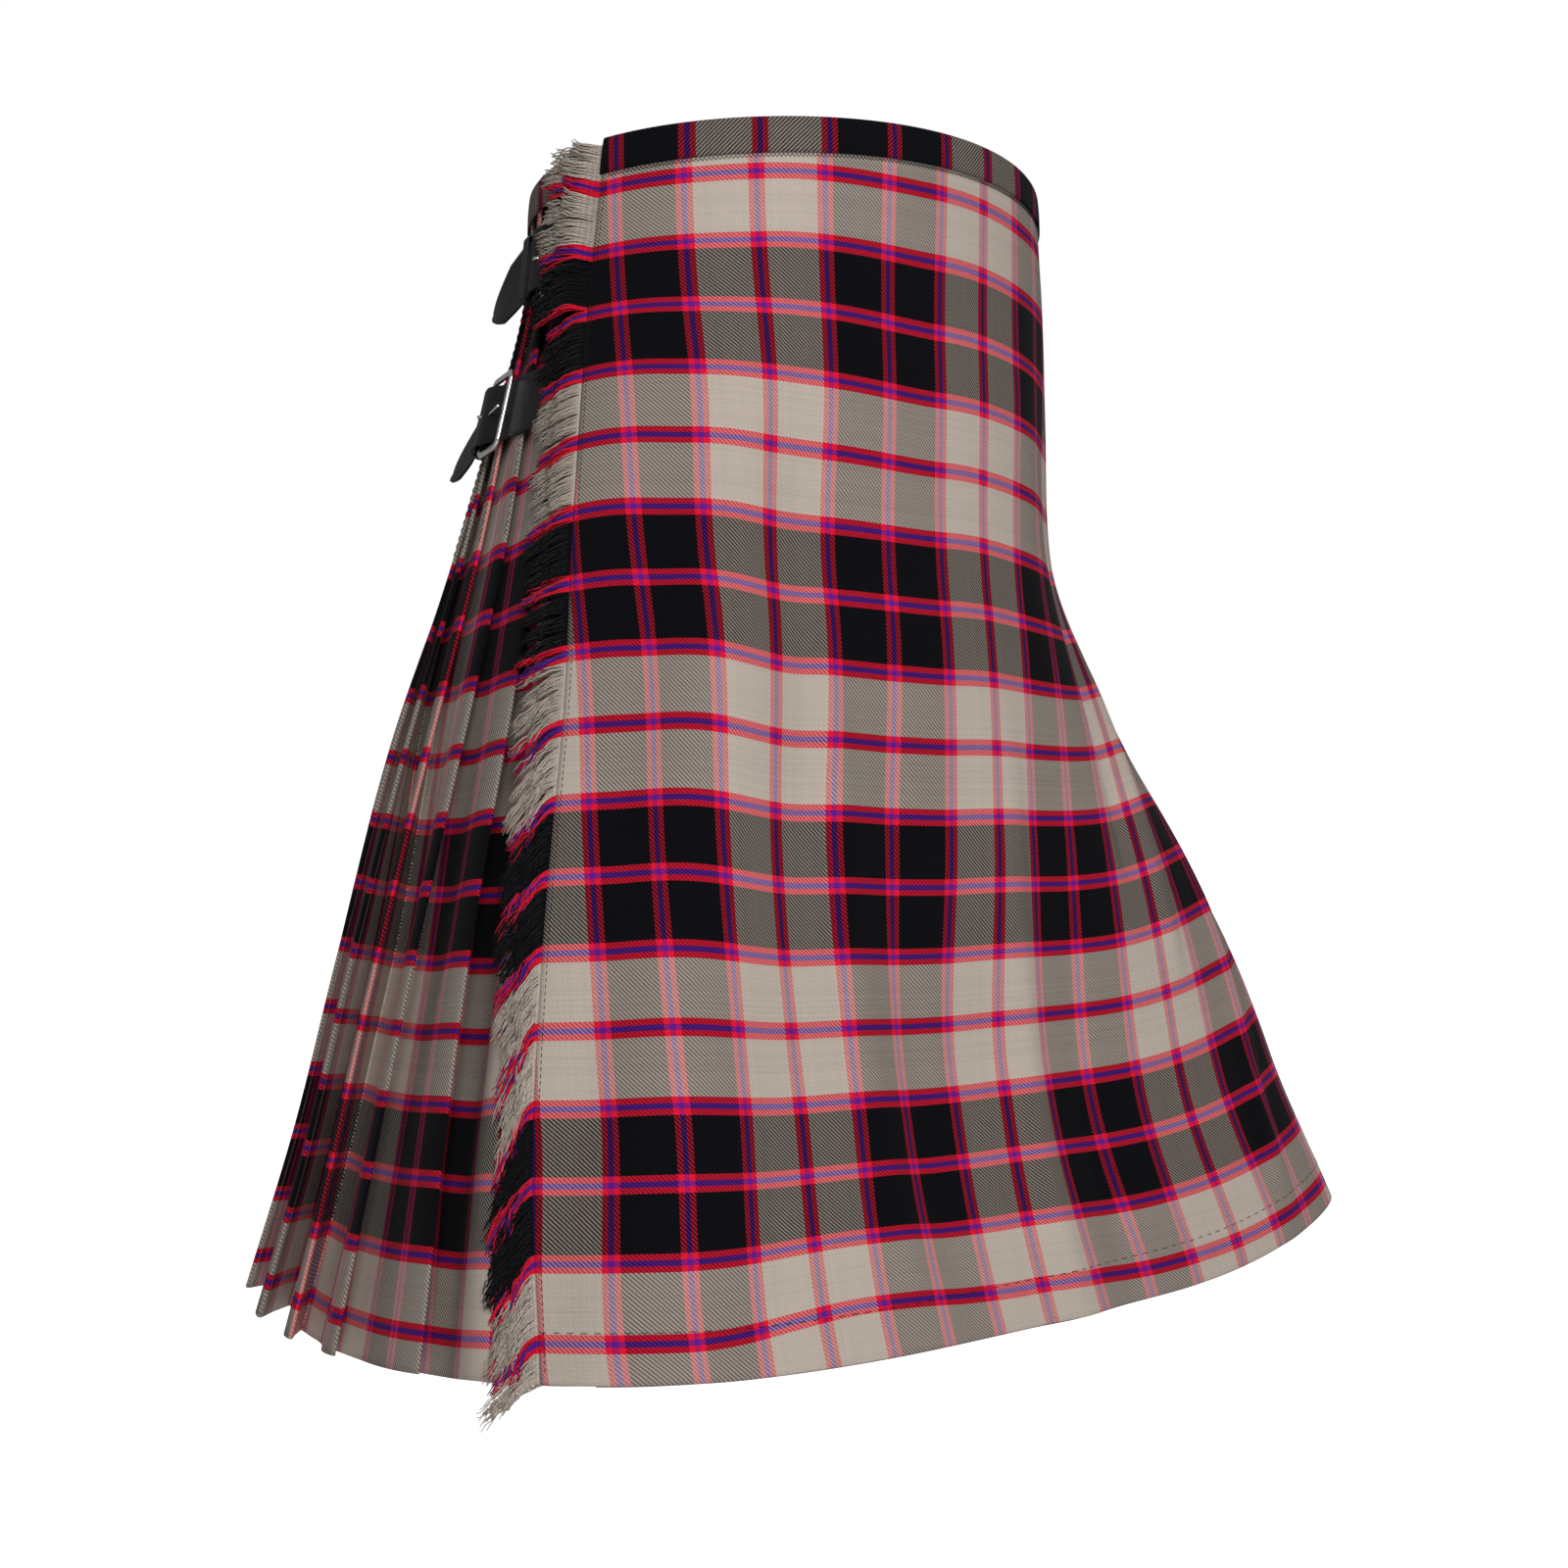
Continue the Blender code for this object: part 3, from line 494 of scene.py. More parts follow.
# ---- Pleats --------------------------------------------------------------------------
# Three lengths of the twill, joined inside tucks and folded into knife pleats that face the
# fringed edge. They are pressed, stitched flat down to the fell, and swing open below it.
PLEATS = 24
PLEAT_STRETCHES = {"pleats_right": (0, 8), "pleats_back": (8, 16), "pleats_left": (16, PLEATS)}
TUCK = 0.70                   # hidden tuck of a pleat, as a share of the next one's width
PLEAT_DEPTH_WAIST = 0.0060    # fold edge to inner fold, at the waist and the fell
PLEAT_DEPTH_HEM = 0.0210      # the same at the hem
INNER_FOLD = 0.0018           # a pleat's face to its returning layer, at the inner fold
FELL = 0.200
OPEN_OVER = 0.24              # drop past the fell over which the tucks open
DIVE = 1.25                   # length over which a face falls, as a share of what shows
BUNCH = 0.20                  # how far the first pleats are drawn to the fringe, in pleat widths
BUNCHED = 9                   # number of pleats that are drawn so
REPEAT = 4 * WARP_BLOCK       # one whole repeat of the check
# Where the fold edges lie in the check, in blocks: each length is folded in the same way.
FOLD_BLOCKS = (1.1, 3.9, 2.7, 1.4, 2.9, 2.5, 2.7, 1.4)


def girth(drop):
    """Distance all the way round at each drop."""
    whole = [np.diff(np.interp([-math.pi, math.pi], RING_BEARINGS, row))[0] for row in ARCS]
    return np.interp(drop, RING_DROPS, whole)


def pleat_width(drop):
    return (girth(drop) - (left_edge(drop) - pleat_start(drop))) / PLEATS


def fold_place(k, drop):
    """Distance of a pleat's fold edge behind the start of the pleats."""
    swing = smooth((drop - FELL) / (DROP - FELL))
    bunch = BUNCH * math.sin(math.pi * min(k / BUNCHED, 1.0))
    sway = 0.10 * math.sin(2.4 * k) + 0.025 * np.sin(14.0 * drop + 1.9 * k) - bunch
    return pleat_width(drop) * (k + sway * swing * (0 < k < PLEATS))


def pleat_depth(k, drop):
    swing = smooth((drop - FELL) / OPEN_OVER)
    depth = PLEAT_DEPTH_WAIST + (PLEAT_DEPTH_HEM - PLEAT_DEPTH_WAIST) * swing
    return depth * (1 + 0.16 * math.sin(1.7 * k + 1) * swing)


def face_out(k, drop, behind):
    """Out of a pleat's face at a distance behind its fold edge: it dives under the next."""
    shown = fold_place(k + 1, drop) - fold_place(k, drop)
    return UNDER_OUT - pleat_depth(k, drop) * smooth(behind / shown / DIVE)


def pleat_columns(drop, first, past):
    """Section of some pleats: distance behind their start, out, and cloth place."""
    half = FOLD_TURN / 2
    columns = []
    for k in range(first, past):
        fold = fold_place(k, drop)
        following = fold_place(k + 1, drop)
        edge = FOLD_BLOCKS[k % 8] * WARP_BLOCK
        if k:
            for angle in (-0.9, 0.0, 0.9):
                columns.append((fold + half * (1 - math.cos(angle)),
                                UNDER_OUT - half + half * math.sin(angle),
                                edge - half * (angle - 0.9)))
        if k == PLEATS - 1:
            for share in np.linspace(0.08, 1.0, 8):
                x = (following - fold - SEAM) * share
                columns.append((fold + x, UNDER_OUT, edge - x))
            break
        tail = following + TUCK * (fold_place(k + 2, drop) - following)
        depth = pleat_depth(k, drop)
        for share in (0.02, 0.10, 0.18, 0.26, 0.34, 0.42, 0.50, 0.58, 0.68, 0.80, 1.0):
            x = (tail - fold) * share
            columns.append((fold + x, face_out(k, drop, x), edge - x))
        inner = edge - (tail - fold)
        outer = FOLD_BLOCKS[(k + 1) % 8] * WARP_BLOCK - REPEAT
        for angle in (-0.6, 0.6):
            columns.append((tail + 0.5 * INNER_FOLD * math.cos(angle),
                            UNDER_OUT - depth + 0.5 * INNER_FOLD * (1 + math.sin(angle)), inner))
        for share in (1.0, 0.5, 0.06):
            columns.append((following + (tail - following) * share,
                            UNDER_OUT - FOLD_TURN - (depth - INNER_FOLD - FOLD_TURN) * share,
                            outer + (inner - outer) * share))
    return [np.stack([np.broadcast_to(part, drop.shape) for part in parts])
            for parts in zip(*columns)]


def pleats(name, node, first, past):
    drop = np.linspace(0.0, DROP, 100)
    behind, out, place = pleat_columns(drop, first, past)
    points = on_cloth(pleat_start(drop) - behind, drop, out)
    weave = np.stack(np.broadcast_arrays(place, drop), axis=-1)
    stretch = sheet_object(name, points, weave, TARTAN)
    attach(stretch, "root")
    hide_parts(node)


for pleats_node, pleats_between in PLEAT_STRETCHES.items():
    pleats(pleats_node.replace("pleats", "knife_pleats"), pleats_node, *pleats_between)

# ---- Waistband -----------------------------------------------------------------------
# A narrow strip of the same cloth, cut where the weft is near-black and folded over the
# top edge. It comes in three lengths: over apron, under apron and pleats.
BAND_HEIGHT = 0.0175
BAND_WEFT = 0.0710            # place in the pattern where the strip is cut
BAND_SHIFT = -0.002           # how far its lines lie from the apron's


def band(name, node, arcs, middle, leg):
    """Folded strip; middle gives the level that it wraps and leg how far its sides stand."""
    down = np.linspace(BAND_HEIGHT, 0.0012, 8)
    roll = np.linspace(0.0, math.pi, 7)
    puff = 0.00025 * np.sin(np.pi * down / BAND_HEIGHT)
    drop = np.concatenate([down, 0.0009 - 0.0018 * np.sin(roll), down[::-1]])
    out = np.concatenate([leg + puff, leg * np.cos(roll), -leg - puff])
    weft = BAND_WEFT + np.concatenate([[0.0], np.cumsum(np.hypot(np.diff(drop), np.diff(out)))])
    inside = np.clip(drop, 0.0, None)
    arc = arcs(inside)
    base = on_cloth(arc, inside, middle(arc, inside) + out)
    base[..., 2] += inside - drop
    across = arc - centre_line(inside)
    across = across + drawn(DRAWN_ASIDE, across, 0.0) + BAND_SHIFT
    weave = np.stack(np.broadcast_arrays(across, weft), axis=-1)
    strip = sheet_object(name, base, weave, BAND_WOOL)
    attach(strip, "root")
    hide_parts(node)


BAND_WOOL = wool("band_wool", 0.86)
SHARE = np.linspace(0.0, 1.0, 150)[:, None]
SIDE = CLOTH + SEAM           # side of a strip, from the middle of the cloth inside it
STACK = PLEAT_DEPTH_WAIST / 2


def back_arcs(drop):
    end = left_edge(drop) - girth(drop)
    return (pleat_start(drop) - SEAM) * (1 - SHARE) + (end + SEAM) * SHARE


band("band_over", "waistband_over",
     lambda drop: right_edge(drop) * (1 - SHARE) + (left_edge(drop) - SEAM) * SHARE,
     apron_level, SIDE)
band("band_under", "waistband_under",
     lambda drop: ((pleat_start(drop) + SEAM) * (1 - SHARE)
                   + (left_edge(drop) - UNDER_SHORT) * SHARE),
     lambda arc, drop: UNDER_OUT, SIDE)
band("band_back", "waistband_back", back_arcs,
     lambda arc, drop: UNDER_OUT - STACK, STACK + SIDE)

# ---- Fringe --------------------------------------------------------------------------
# The apron's edge is unravelled: its weft yarns are left as two rows of loose ends, a
# short outer row at the edge and a longer inner row on a strip sewn behind it.
FRINGE_LOCKS = 64             # locks in each row
STRANDS = 26                  # yarn ends in a lock
YARN_RADIUS = 0.00046
BUCKLE_DROP = 0.050           # the locks are lifted by the buckle that lies under them
TOP_RISE = 0.011              # how far the ends by the waistband stand up
FRINGE_TOP = 0.003            # drop at which the fringe starts
CRIMP = 0.011                 # length of a yarn's small waves
CURL = 0.017                  # length of its slower waves, across the first


def yarn_material():
    material, s, surface = new_material("fringe_yarn")
    place = s.add("UVMap", uv_map="weave").outputs["UV"]
    parts = s.add("SeparateXYZ", place).outputs
    down = s.math("SUBTRACT", parts["Y"], FIRST_WEFT_LINE)
    color = s.group(SETT, Blocks=s.math("DIVIDE", down, WEFT_BLOCK))["Color"]
    # Painted shade: bands along each yarn, darker where the grooves between its twisted plies
    # would lie.
    ply = s.math("SINE", s.math("MULTIPLY", parts["X"], 2 * math.pi / 0.0016))
    shade = s.math("MULTIPLY_ADD", ply, 0.10, 0.92)
    s.join(surface["Base Color"], s.mix(1.0, color, shade, "MULTIPLY"))
    surface["Roughness"].default_value = 0.9
    surface["Specular IOR Level"].default_value = 0.04
    surface["Sheen Weight"].default_value = 0.03
    return material


def tubes(name, paths, sizes, weave, material, sides=3):
    """Thin tubes along many paths at once; sizes gives their radius at each point."""
    count, stops = paths.shape[:2]
    way = np.gradient(paths, axis=1)
    way /= np.linalg.norm(way, axis=-1, keepdims=True)
    away = paths * (1.0, 1.0, 0.0)
    side = np.cross(way, away)
    side /= np.linalg.norm(side, axis=-1, keepdims=True)
    other = np.cross(side, way)
    turn = 2 * np.pi * np.arange(sides) / sides
    ring = (np.cos(turn)[:, None] * side[:, :, None] + np.sin(turn)[:, None] * other[:, :, None])
    points = paths[:, :, None] + sizes[:, :, None, None] * ring
    index = np.arange(count * stops * sides).reshape(count, stops, sides)
    a = index[:, :-1]
    b = index[:, 1:]
    walls = np.stack([a, b, np.roll(b, -1, axis=2), np.roll(a, -1, axis=2)], axis=-1)
    ends = np.concatenate([index[:, 0], index[:, -1, ::-1]])
    mesh = bpy.data.meshes.new(name)
    mesh.from_pydata(points.reshape(-1, 3).tolist(), [],
                     walls.reshape(-1, 4).tolist() + ends.tolist())
    corners = np.zeros(len(mesh.loops), int)
    mesh.loops.foreach_get("vertex_index", corners)
    uv = mesh.uv_layers.new(name="weave")
    uv.data.foreach_set("uv", np.repeat(weave.reshape(-1, 2), sides, axis=0)[corners].ravel())
    mesh.shade_smooth()
    obj = bpy.data.objects.new(name, mesh)
    bpy.context.scene.collection.objects.link(obj)
    obj.data.materials.append(material)
    return obj


def fringe(name, node, root, out, reach, droop, stops, seed):
    """root: arc from the apron's edge; reach: length of the ends at the waist and the hem."""
    dice = np.random.default_rng(seed)
    cell = (DROP - FRINGE_TOP) / FRINGE_LOCKS
    t = np.linspace(0.0, 1.0, stops)
    arcs, drops, outs, places = [], [], [], []
    for k in range(FRINGE_LOCKS):
        middle = FRINGE_TOP + (k + 0.5) * cell
        along = k / (FRINGE_LOCKS - 1)
        length = (reach[0] + (reach[1] - reach[0]) * along) * (1 + 0.09 * math.sin(1.9 * k))
        slack = 0.12 + 0.88 * smooth((along - 0.35) / 0.45)
        slack = slack * (1 - 0.55 * smooth((along - 0.9) / 0.1))
        slope = droop * slack * (1 + 0.25 * math.sin(0.42 * k))
        turn = 1 / math.hypot(1.0, slope)
        hang = slope * turn * length
        lift = 0.0078 * smooth((0.044 - abs(middle + hang / 2 - BUCKLE_DROP)) / 0.008)
        gather = dice.uniform(0.85, 1.05) + (dice.uniform(0.30, 0.70) - 0.95) * smooth(along / 0.5)
        rise = TOP_RISE * smooth((0.085 - middle) / 0.050)
        for n in range(STRANDS):
            start = middle + cell * ((n + 0.5) / STRANDS - 0.5)
            long = length * dice.uniform(0.90 - 0.10 * along, 1.04)
            fall = hang * dice.uniform(0.8, 1.2) - rise
            wave = dice.uniform(0.0003, 0.0008 + 0.0014 * smooth((along - 0.3) / 0.4))
            phase = dice.uniform(0.0, 6.3)
            crimp = np.sin(2 * np.pi * t * long / CRIMP + phase) * t
            curl = np.cos(2 * np.pi * t * long / CURL + 1.7 * phase) * t
            closing = (start - middle) * (1 - t * (1 - gather))
            arcs.append(root - turn * long * t * (1 - 0.10 * t) + wave * curl)
            drops.append(middle + closing + fall * t ** 1.5 + wave * crimp)
            puff = dice.uniform(-0.0006, 0.0022) * np.sin(np.pi * 0.8 * t)
            outs.append(out + lift * smooth(t / 0.33) + puff + 0.5 * wave * curl)
            places.append(start)
    arcs, drops, outs, places = (np.array(values) for values in (arcs, drops, outs, places))
    places = places + drawn(DRAWN_DOWN, -half_apron(places), places)
    line = right_edge(drops)
    paths = on_cloth(line + arcs, drops, outs)
    sizes = YARN_RADIUS * np.broadcast_to(1.0 - 0.45 * t ** 4, arcs.shape)
    weave = np.stack([-arcs, np.broadcast_to(places[:, None], arcs.shape)], axis=-1)
    row = tubes(name, paths, sizes, weave, YARN_WOOL)
    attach(row, "root")
    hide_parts(node)


YARN_WOOL = yarn_material()
fringe("fringe_short", "fringe_outer", 0.0005, 0.0002, (0.022, 0.024), 1.45, 9, 11)
fringe("fringe_long", "fringe_inner", 0.0040, -0.0018, (0.043, 0.041), 1.00, 12, 12)

# ---- Straps --------------------------------------------------------------------------
# Black leather straps sewn inside the apron, with their tails free behind the buckles.
# Each passes under its buckle's front bar, over the heel bar and through a keeper.
STRAP_WIDTH = 0.033
STRAP_THICK = 0.0014
CHAPE_THICK = 0.0012
CHAPE_LONG = 0.026
WIRE = 0.0012
PRONG = 0.0008
FRAME_LONG = 0.030            # bar to bar
FRAME_TALL = 0.041
FRAME_CORNER = 0.004
REST = 0.0005                 # gap between the leather and the pleats' folds
BAR = 0.0037                  # height of the buckle's wire above the pleats
PAD_TOP = REST + SEAM + 2 * CHAPE_THICK
STRAP_LOW = REST + STRAP_THICK / 2
STRAP_HIGH = BAR + WIRE + 2 * PRONG + 2 * SEAM + STRAP_THICK / 2
STRAP_ON_PAD = PAD_TOP + SEAM + STRAP_THICK / 2
# side, drop, start (arc from the apron's edge to the strap's root), toe (arc from the edge to
# the buckle's front bar), tail (length past the buckle), and how far the tail sags and stands off.
STRAPS = {
    "right_upper": ("right", 0.050, -0.026, 0.012, 0.050, 0.012, 0.012),
    "right_lower": ("right", 0.127, -0.026, 0.067, 0.050, 0.022, 0.013),
    "left": ("left", 0.050, -0.050, 0.040, 0.045, 0.006, 0.004),
}


class Station:
    """Local frame of one strap: x runs back along it, y up, h off the pleats."""

    def __init__(self, name):
        (self.side, self.drop, self.start, self.toe,
         self.tail, self.sag, self.stand_off) = STRAPS[name]
        self.name = name
        self.heel = self.toe + FRAME_LONG

    def place(self, x, y, h):
        drop = self.drop - y
        arc = right_edge(drop) - x if self.side == "right" else left_edge(drop) + x
        return on_cloth(arc, drop, UNDER_OUT + CLOTH / 2 + h)


def leather_material():
    material, s, surface = new_material("black_leather")
    spot = s.add("TexCoord").outputs["Object"]
    grain = s.add("TexVoronoi", spot, None, 950.0, feature="DISTANCE_TO_EDGE").outputs["Distance"]
    pores = s.add("TexNoise", spot, None, 2200.0, 2.0).outputs["Fac"]
    cloudy = s.add("TexNoise", spot, None, 60.0, 3.0).outputs["Fac"]
    dark, pale = (0.002, 0.002, 0.003, 1.0), (0.008, 0.008, 0.010, 1.0)
    s.join(surface["Base Color"], s.mix(cloudy, dark, pale))
    surface["Specular IOR Level"].default_value = 0.20
    s.join(surface["Roughness"], s.math("MULTIPLY_ADD", cloudy, 0.20, 0.36))
    cells = s.math("MINIMUM", s.math("MULTIPLY", grain, 6.0), 1.0)
    height = s.math("MULTIPLY_ADD", pores, 0.3, cells)
    bump = s.add("Bump", 0.30, 0.00012)
    s.join(bump.inputs["Height"], height)
    s.join(surface["Normal"], bump.outputs["Normal"])
    return material


LEATHER = leather_material()


def strap_height(station, x):
    """Height of the strap's middle: under the front bar, over the heel bar, then free."""
    climb = smooth((x - station.toe - 0.004) / (FRAME_LONG - 0.007))
    settle = smooth((x - station.heel - 0.004) / 0.012)
    free = smooth((x - station.heel - CHAPE_LONG) / station.tail)
    height = STRAP_LOW + (STRAP_HIGH - STRAP_LOW) * climb + (STRAP_ON_PAD - STRAP_HIGH) * settle
    if station.side == "left":
        # It dives under the apron and comes out through the slot in the seam.
        sunk = smooth((x + 0.045) / 0.030) * (1 - smooth((x + 0.0075) / 0.0085))
        height = height - 0.0034 * sunk
    return height + station.stand_off * free


def leather_strip(name, rows, thickness, bevel):
    """Leather from a grid of points, with rounded edges; rows are across the strip."""
    weave = np.zeros(rows.shape[:2] + (2,))
    strip = sheet_object(name, rows, weave, LEATHER, thickness)
    round_over = strip.modifiers.new("edges", "BEVEL")
    round_over.width = bevel
    round_over.segments = 2
    round_over.angle_limit = math.radians(50)
    bpy.ops.object.modifier_apply(modifier=round_over.name)
    bpy.ops.object.select_all(action="DESELECT")
    strip.select_set(True)
    bpy.ops.object.shade_smooth_by_angle(angle=math.radians(40))
    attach(strip, "root")
    return strip


def strap(station):
    end = station.heel + 0.020 + station.tail
    x = np.linspace(station.start, end, 96)
    free = smooth((x - station.heel - 0.022) / station.tail)
    point = np.clip((end + 0.0005 - x) / 0.024, 0.0, 1.0)
    half = STRAP_WIDTH / 2 * np.minimum(point ** 0.70, 1.0)
    across = np.linspace(-1.0, 1.0, 13)[:, None]
    y = half * across - station.sag * free
    crown = 0.0004 * (1 - across ** 2) * np.ones_like(x)
    height = strap_height(station, x) - crown + 0.0002
    points = station.place(np.broadcast_to(x, y.shape), y, height)
    piece = leather_strip("strap_leather_" + station.name, points, STRAP_THICK, 0.0004)
    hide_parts("strap_" + station.name)


for strap_name in STRAPS:
    strap(Station(strap_name))

# ---- Chapes and keepers --------------------------------------------------------------
# Each buckle hangs on a leather tab, folded round its heel bar and sewn to the pleats. A
# narrow leather loop behind the buckle holds the strap down.


def chape(station):
    wrap = WIRE + SEAM + CHAPE_THICK / 2
    low = REST + CHAPE_THICK / 2
    high = low + SEAM + CHAPE_THICK
    back = station.heel + CHAPE_LONG
    front = station.heel + 0.008
    under = [(x, low) for x in np.linspace(back, front, 9)]
    around = [(station.heel + wrap * math.cos(a), BAR + wrap * math.sin(a))
              for a in np.radians(np.linspace(-80.0, -280.0, 12))]
    over = [(x, high) for x in np.linspace(front, back, 9)]
    x, height = np.array(under + around + over).T
    across = np.linspace(-1.0, 1.0, 9)[:, None]
    rounded = 1.0 - 0.35 * smooth(1 - (back - x) / 0.006)
    y = (STRAP_WIDTH / 2 - 0.001) * across * rounded
    points = station.place(np.broadcast_to(x, y.shape), y, np.broadcast_to(height, y.shape))
    tab = leather_strip("chape_leather_" + station.name, points, CHAPE_THICK, 0.0003)
    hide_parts("buckle_chape_" + station.name)


def keeper(station):
    side = STRAP_WIDTH / 2 + SEAM + CHAPE_THICK / 2
    top = STRAP_ON_PAD + STRAP_THICK / 2 + 5 * SEAM + CHAPE_THICK / 2
    bend = 0.0018
    turn = np.radians(np.linspace(180.0, 90.0, 5))
    corner = np.stack([-side + bend + bend * np.cos(turn),
                       top - bend + bend * np.sin(turn)], axis=1)
    left = np.vstack([[(-side, SEAM)], corner])
    right = left[::-1] * (-1.0, 1.0)
    bridge = [(y, top) for y in np.linspace(-side + 0.006, side - 0.006, 7)]
    y, height = np.vstack([left, bridge, right]).T
    x = station.heel + np.linspace(0.0155, 0.0225, 5)[:, None]
    points = station.place(*np.broadcast_arrays(x, y, height))
    loop = leather_strip("keeper_leather_" + station.name, points, CHAPE_THICK, 0.0003)
    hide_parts("keeper_" + station.name)


for strap_name in STRAPS:
    chape(Station(strap_name))
    keeper(Station(strap_name))

# ---- Buckles -------------------------------------------------------------------------
# Nickel-plated frames of flattened wire, and a round prong hooked on to each frame's heel bar.
# The prong comes up through the strap and rests on the front bar.
FRAME_WIDE = 0.0036           # width of the flattened wire
FRAME_THICK = 0.0022


def nickel_material():
    material, s, surface = new_material("nickel_plate")
    spot = s.add("TexCoord").outputs["Object"]
    worn = s.add("TexNoise", spot, None, 420.0, 4.0).outputs["Fac"]
    s.join(surface["Base Color"], s.mix(worn, (0.80, 0.78, 0.74, 1.0), (0.62, 0.60, 0.56, 1.0)))
    s.join(surface["Roughness"], s.math("MULTIPLY_ADD", worn, 0.22, 0.10))
    surface["Metallic"].default_value = 1.0
    scratched = s.add("TexNoise", spot, None, 3000.0, 2.0).outputs["Fac"]
    bump = s.add("Bump", 0.08, 0.0001)
    s.join(bump.inputs["Height"], scratched)
    s.join(surface["Normal"], bump.outputs["Normal"])
    return material


NICKEL = nickel_material()


def seat(piece, station, x, y, h):
    """Turn a piece made flat at the origin into its place on a strap, and fix it there."""
    step = 0.004 * np.array([1.0, -1.0, 0.0])
    behind, ahead, here = station.place(x + step, y, h)
    above, below, _ = station.place(x, y + step, h)
    along = (behind - ahead) / np.linalg.norm(behind - ahead)
    off = np.cross(along, above - below)
    off /= np.linalg.norm(off)
    if station.side == "left":
        off = -off
    turned = np.eye(4)
    turned[:3] = np.stack([along, np.cross(off, along), off, here], axis=1)
    piece.matrix_world = Matrix(turned.tolist())
    bpy.ops.object.select_all(action="DESELECT")
    piece.select_set(True)
    bpy.context.view_layer.objects.active = piece
    bpy.ops.object.transform_apply(location=True, rotation=True, scale=True)


def finish_metal(piece, name, node):
    piece.name = name
    piece.data.materials.clear()
    piece.data.materials.append(NICKEL)
    bpy.ops.object.shade_smooth_by_angle(angle=math.radians(50))
    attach(piece, "root")
    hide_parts(node)


def joined(first, second):
    bpy.ops.object.select_all(action="DESELECT")
    first.select_set(True)
    second.select_set(True)
    bpy.context.view_layer.objects.active = first
    bpy.ops.object.join()
    return first


def buckle_frame(station):
    bpy.ops.mesh.primitive_plane_add(size=1.0)
    frame_plate = bpy.context.object
    frame_plate.scale = (FRAME_LONG + FRAME_WIDE, FRAME_TALL + FRAME_WIDE, 1.0)
    bpy.ops.object.transform_apply(location=False, rotation=False, scale=True)
    bpy.ops.object.mode_set(mode="EDIT")
    bpy.ops.mesh.select_all(action="SELECT")
    bpy.ops.mesh.bevel(offset=FRAME_CORNER + FRAME_WIDE / 2, segments=8, affect="VERTICES")
    bpy.ops.mesh.inset(thickness=FRAME_WIDE)
    bpy.ops.mesh.delete(type="FACE")
    bpy.ops.object.mode_set(mode="OBJECT")
    solid = frame_plate.modifiers.new("thickness", "SOLIDIFY")
    solid.thickness = FRAME_THICK
    solid.offset = 0.0
    bpy.ops.object.modifier_apply(modifier=solid.name)
    rounded = frame_plate.modifiers.new("rounding", "BEVEL")
    rounded.width = 0.0009
    rounded.segments = 4
    rounded.limit_method = "ANGLE"
    rounded.angle_limit = math.radians(60)
    bpy.ops.object.modifier_apply(modifier=rounded.name)
    seat(frame_plate, station, station.toe + FRAME_LONG / 2, 0.0, BAR)
    finish_metal(frame_plate, "nickel_frame_" + station.name, "buckle_frame_" + station.name)


def prong(station):
    lift = BAR + FRAME_THICK / 2 + PRONG
    long = FRAME_LONG + 0.0035
    bpy.ops.mesh.primitive_cylinder_add(vertices=16, radius=PRONG, depth=long,
                                        rotation=(0.0, math.pi / 2, 0.0),
                                        location=(-long / 2, 0.0, 0.0))
    pin = bpy.context.object
    bpy.ops.object.transform_apply(location=True, rotation=True, scale=True)
    tip = pin.modifiers.new("tip", "BEVEL")
    tip.width = 0.0005
    tip.segments = 3
    bpy.ops.object.modifier_apply(modifier=tip.name)
    bpy.ops.mesh.primitive_torus_add(major_radius=FRAME_THICK / 2 + PRONG, minor_radius=PRONG,
                                     major_segments=24, minor_segments=10,
                                     location=(0.0, 0.0, -FRAME_THICK / 2 - PRONG),
                                     rotation=(math.pi / 2, 0.0, 0.0))
    hook = bpy.context.object
    bpy.ops.object.transform_apply(location=True, rotation=True, scale=True)
    pin = joined(pin, hook)
    seat(pin, station, station.heel, 0.0, lift)
    finish_metal(pin, "nickel_prong_" + station.name, "buckle_prong_" + station.name)


for strap_name in STRAPS:
    buckle_frame(Station(strap_name))
    prong(Station(strap_name))

# ---- Stitching -----------------------------------------------------------------------
# Black sewing thread: a zigzag that fixes the waistband, a row beside the apron's edge,
# spaced stitches along its hem, slip stitches down each pleat to the fell, and two rows
# across each chape.
THREAD_RADIUS = 0.00022
ZIGZAG_STEP = 0.0011
EDGE_ROW = 0.0035             # the row's distance from the apron's edge


def thread_material():
    material, s, surface = new_material("black_thread")
    place = s.add("UVMap", uv_map="weave").outputs["UV"]
    along = s.add("SeparateXYZ", place).outputs["X"]
    # Painted shade: bands along the thread, darker where the grooves between its twisted plies
    # would lie.
    ply = s.math("SINE", s.math("MULTIPLY", along, 2 * math.pi / 0.0007))
    shade = s.math("MULTIPLY_ADD", ply, 0.15, 0.85)
    black = (0.006, 0.006, 0.008, 1.0)
    s.join(surface["Base Color"], s.mix(1.0, black, shade, "MULTIPLY"))
    surface["Roughness"].default_value = 0.7
    surface["Specular IOR Level"].default_value = 0.2
    return material


BLACK_THREAD = thread_material()


def stitches(name, starts, ends, surface):
    """Short arched threads; starts and ends are two coordinates each for surface."""
    t = np.linspace(0.0, 1.0, 5)
    starts, ends = np.asarray(starts, float), np.asarray(ends, float)
    first = starts[:, :1] + (ends[:, :1] - starts[:, :1]) * t
    second = starts[:, 1:] + (ends[:, 1:] - starts[:, 1:]) * t
    lift = -0.00015 + 0.00035 * np.sin(np.pi * t) ** 0.5 * np.ones_like(first)
    paths = surface(first, second, lift)
    sizes = np.full(first.shape, THREAD_RADIUS)
    weave = np.stack([np.broadcast_to(0.003 * t, first.shape), second], axis=-1)
    row = tubes(name, paths, sizes, weave, BLACK_THREAD)
    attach(row, "root")


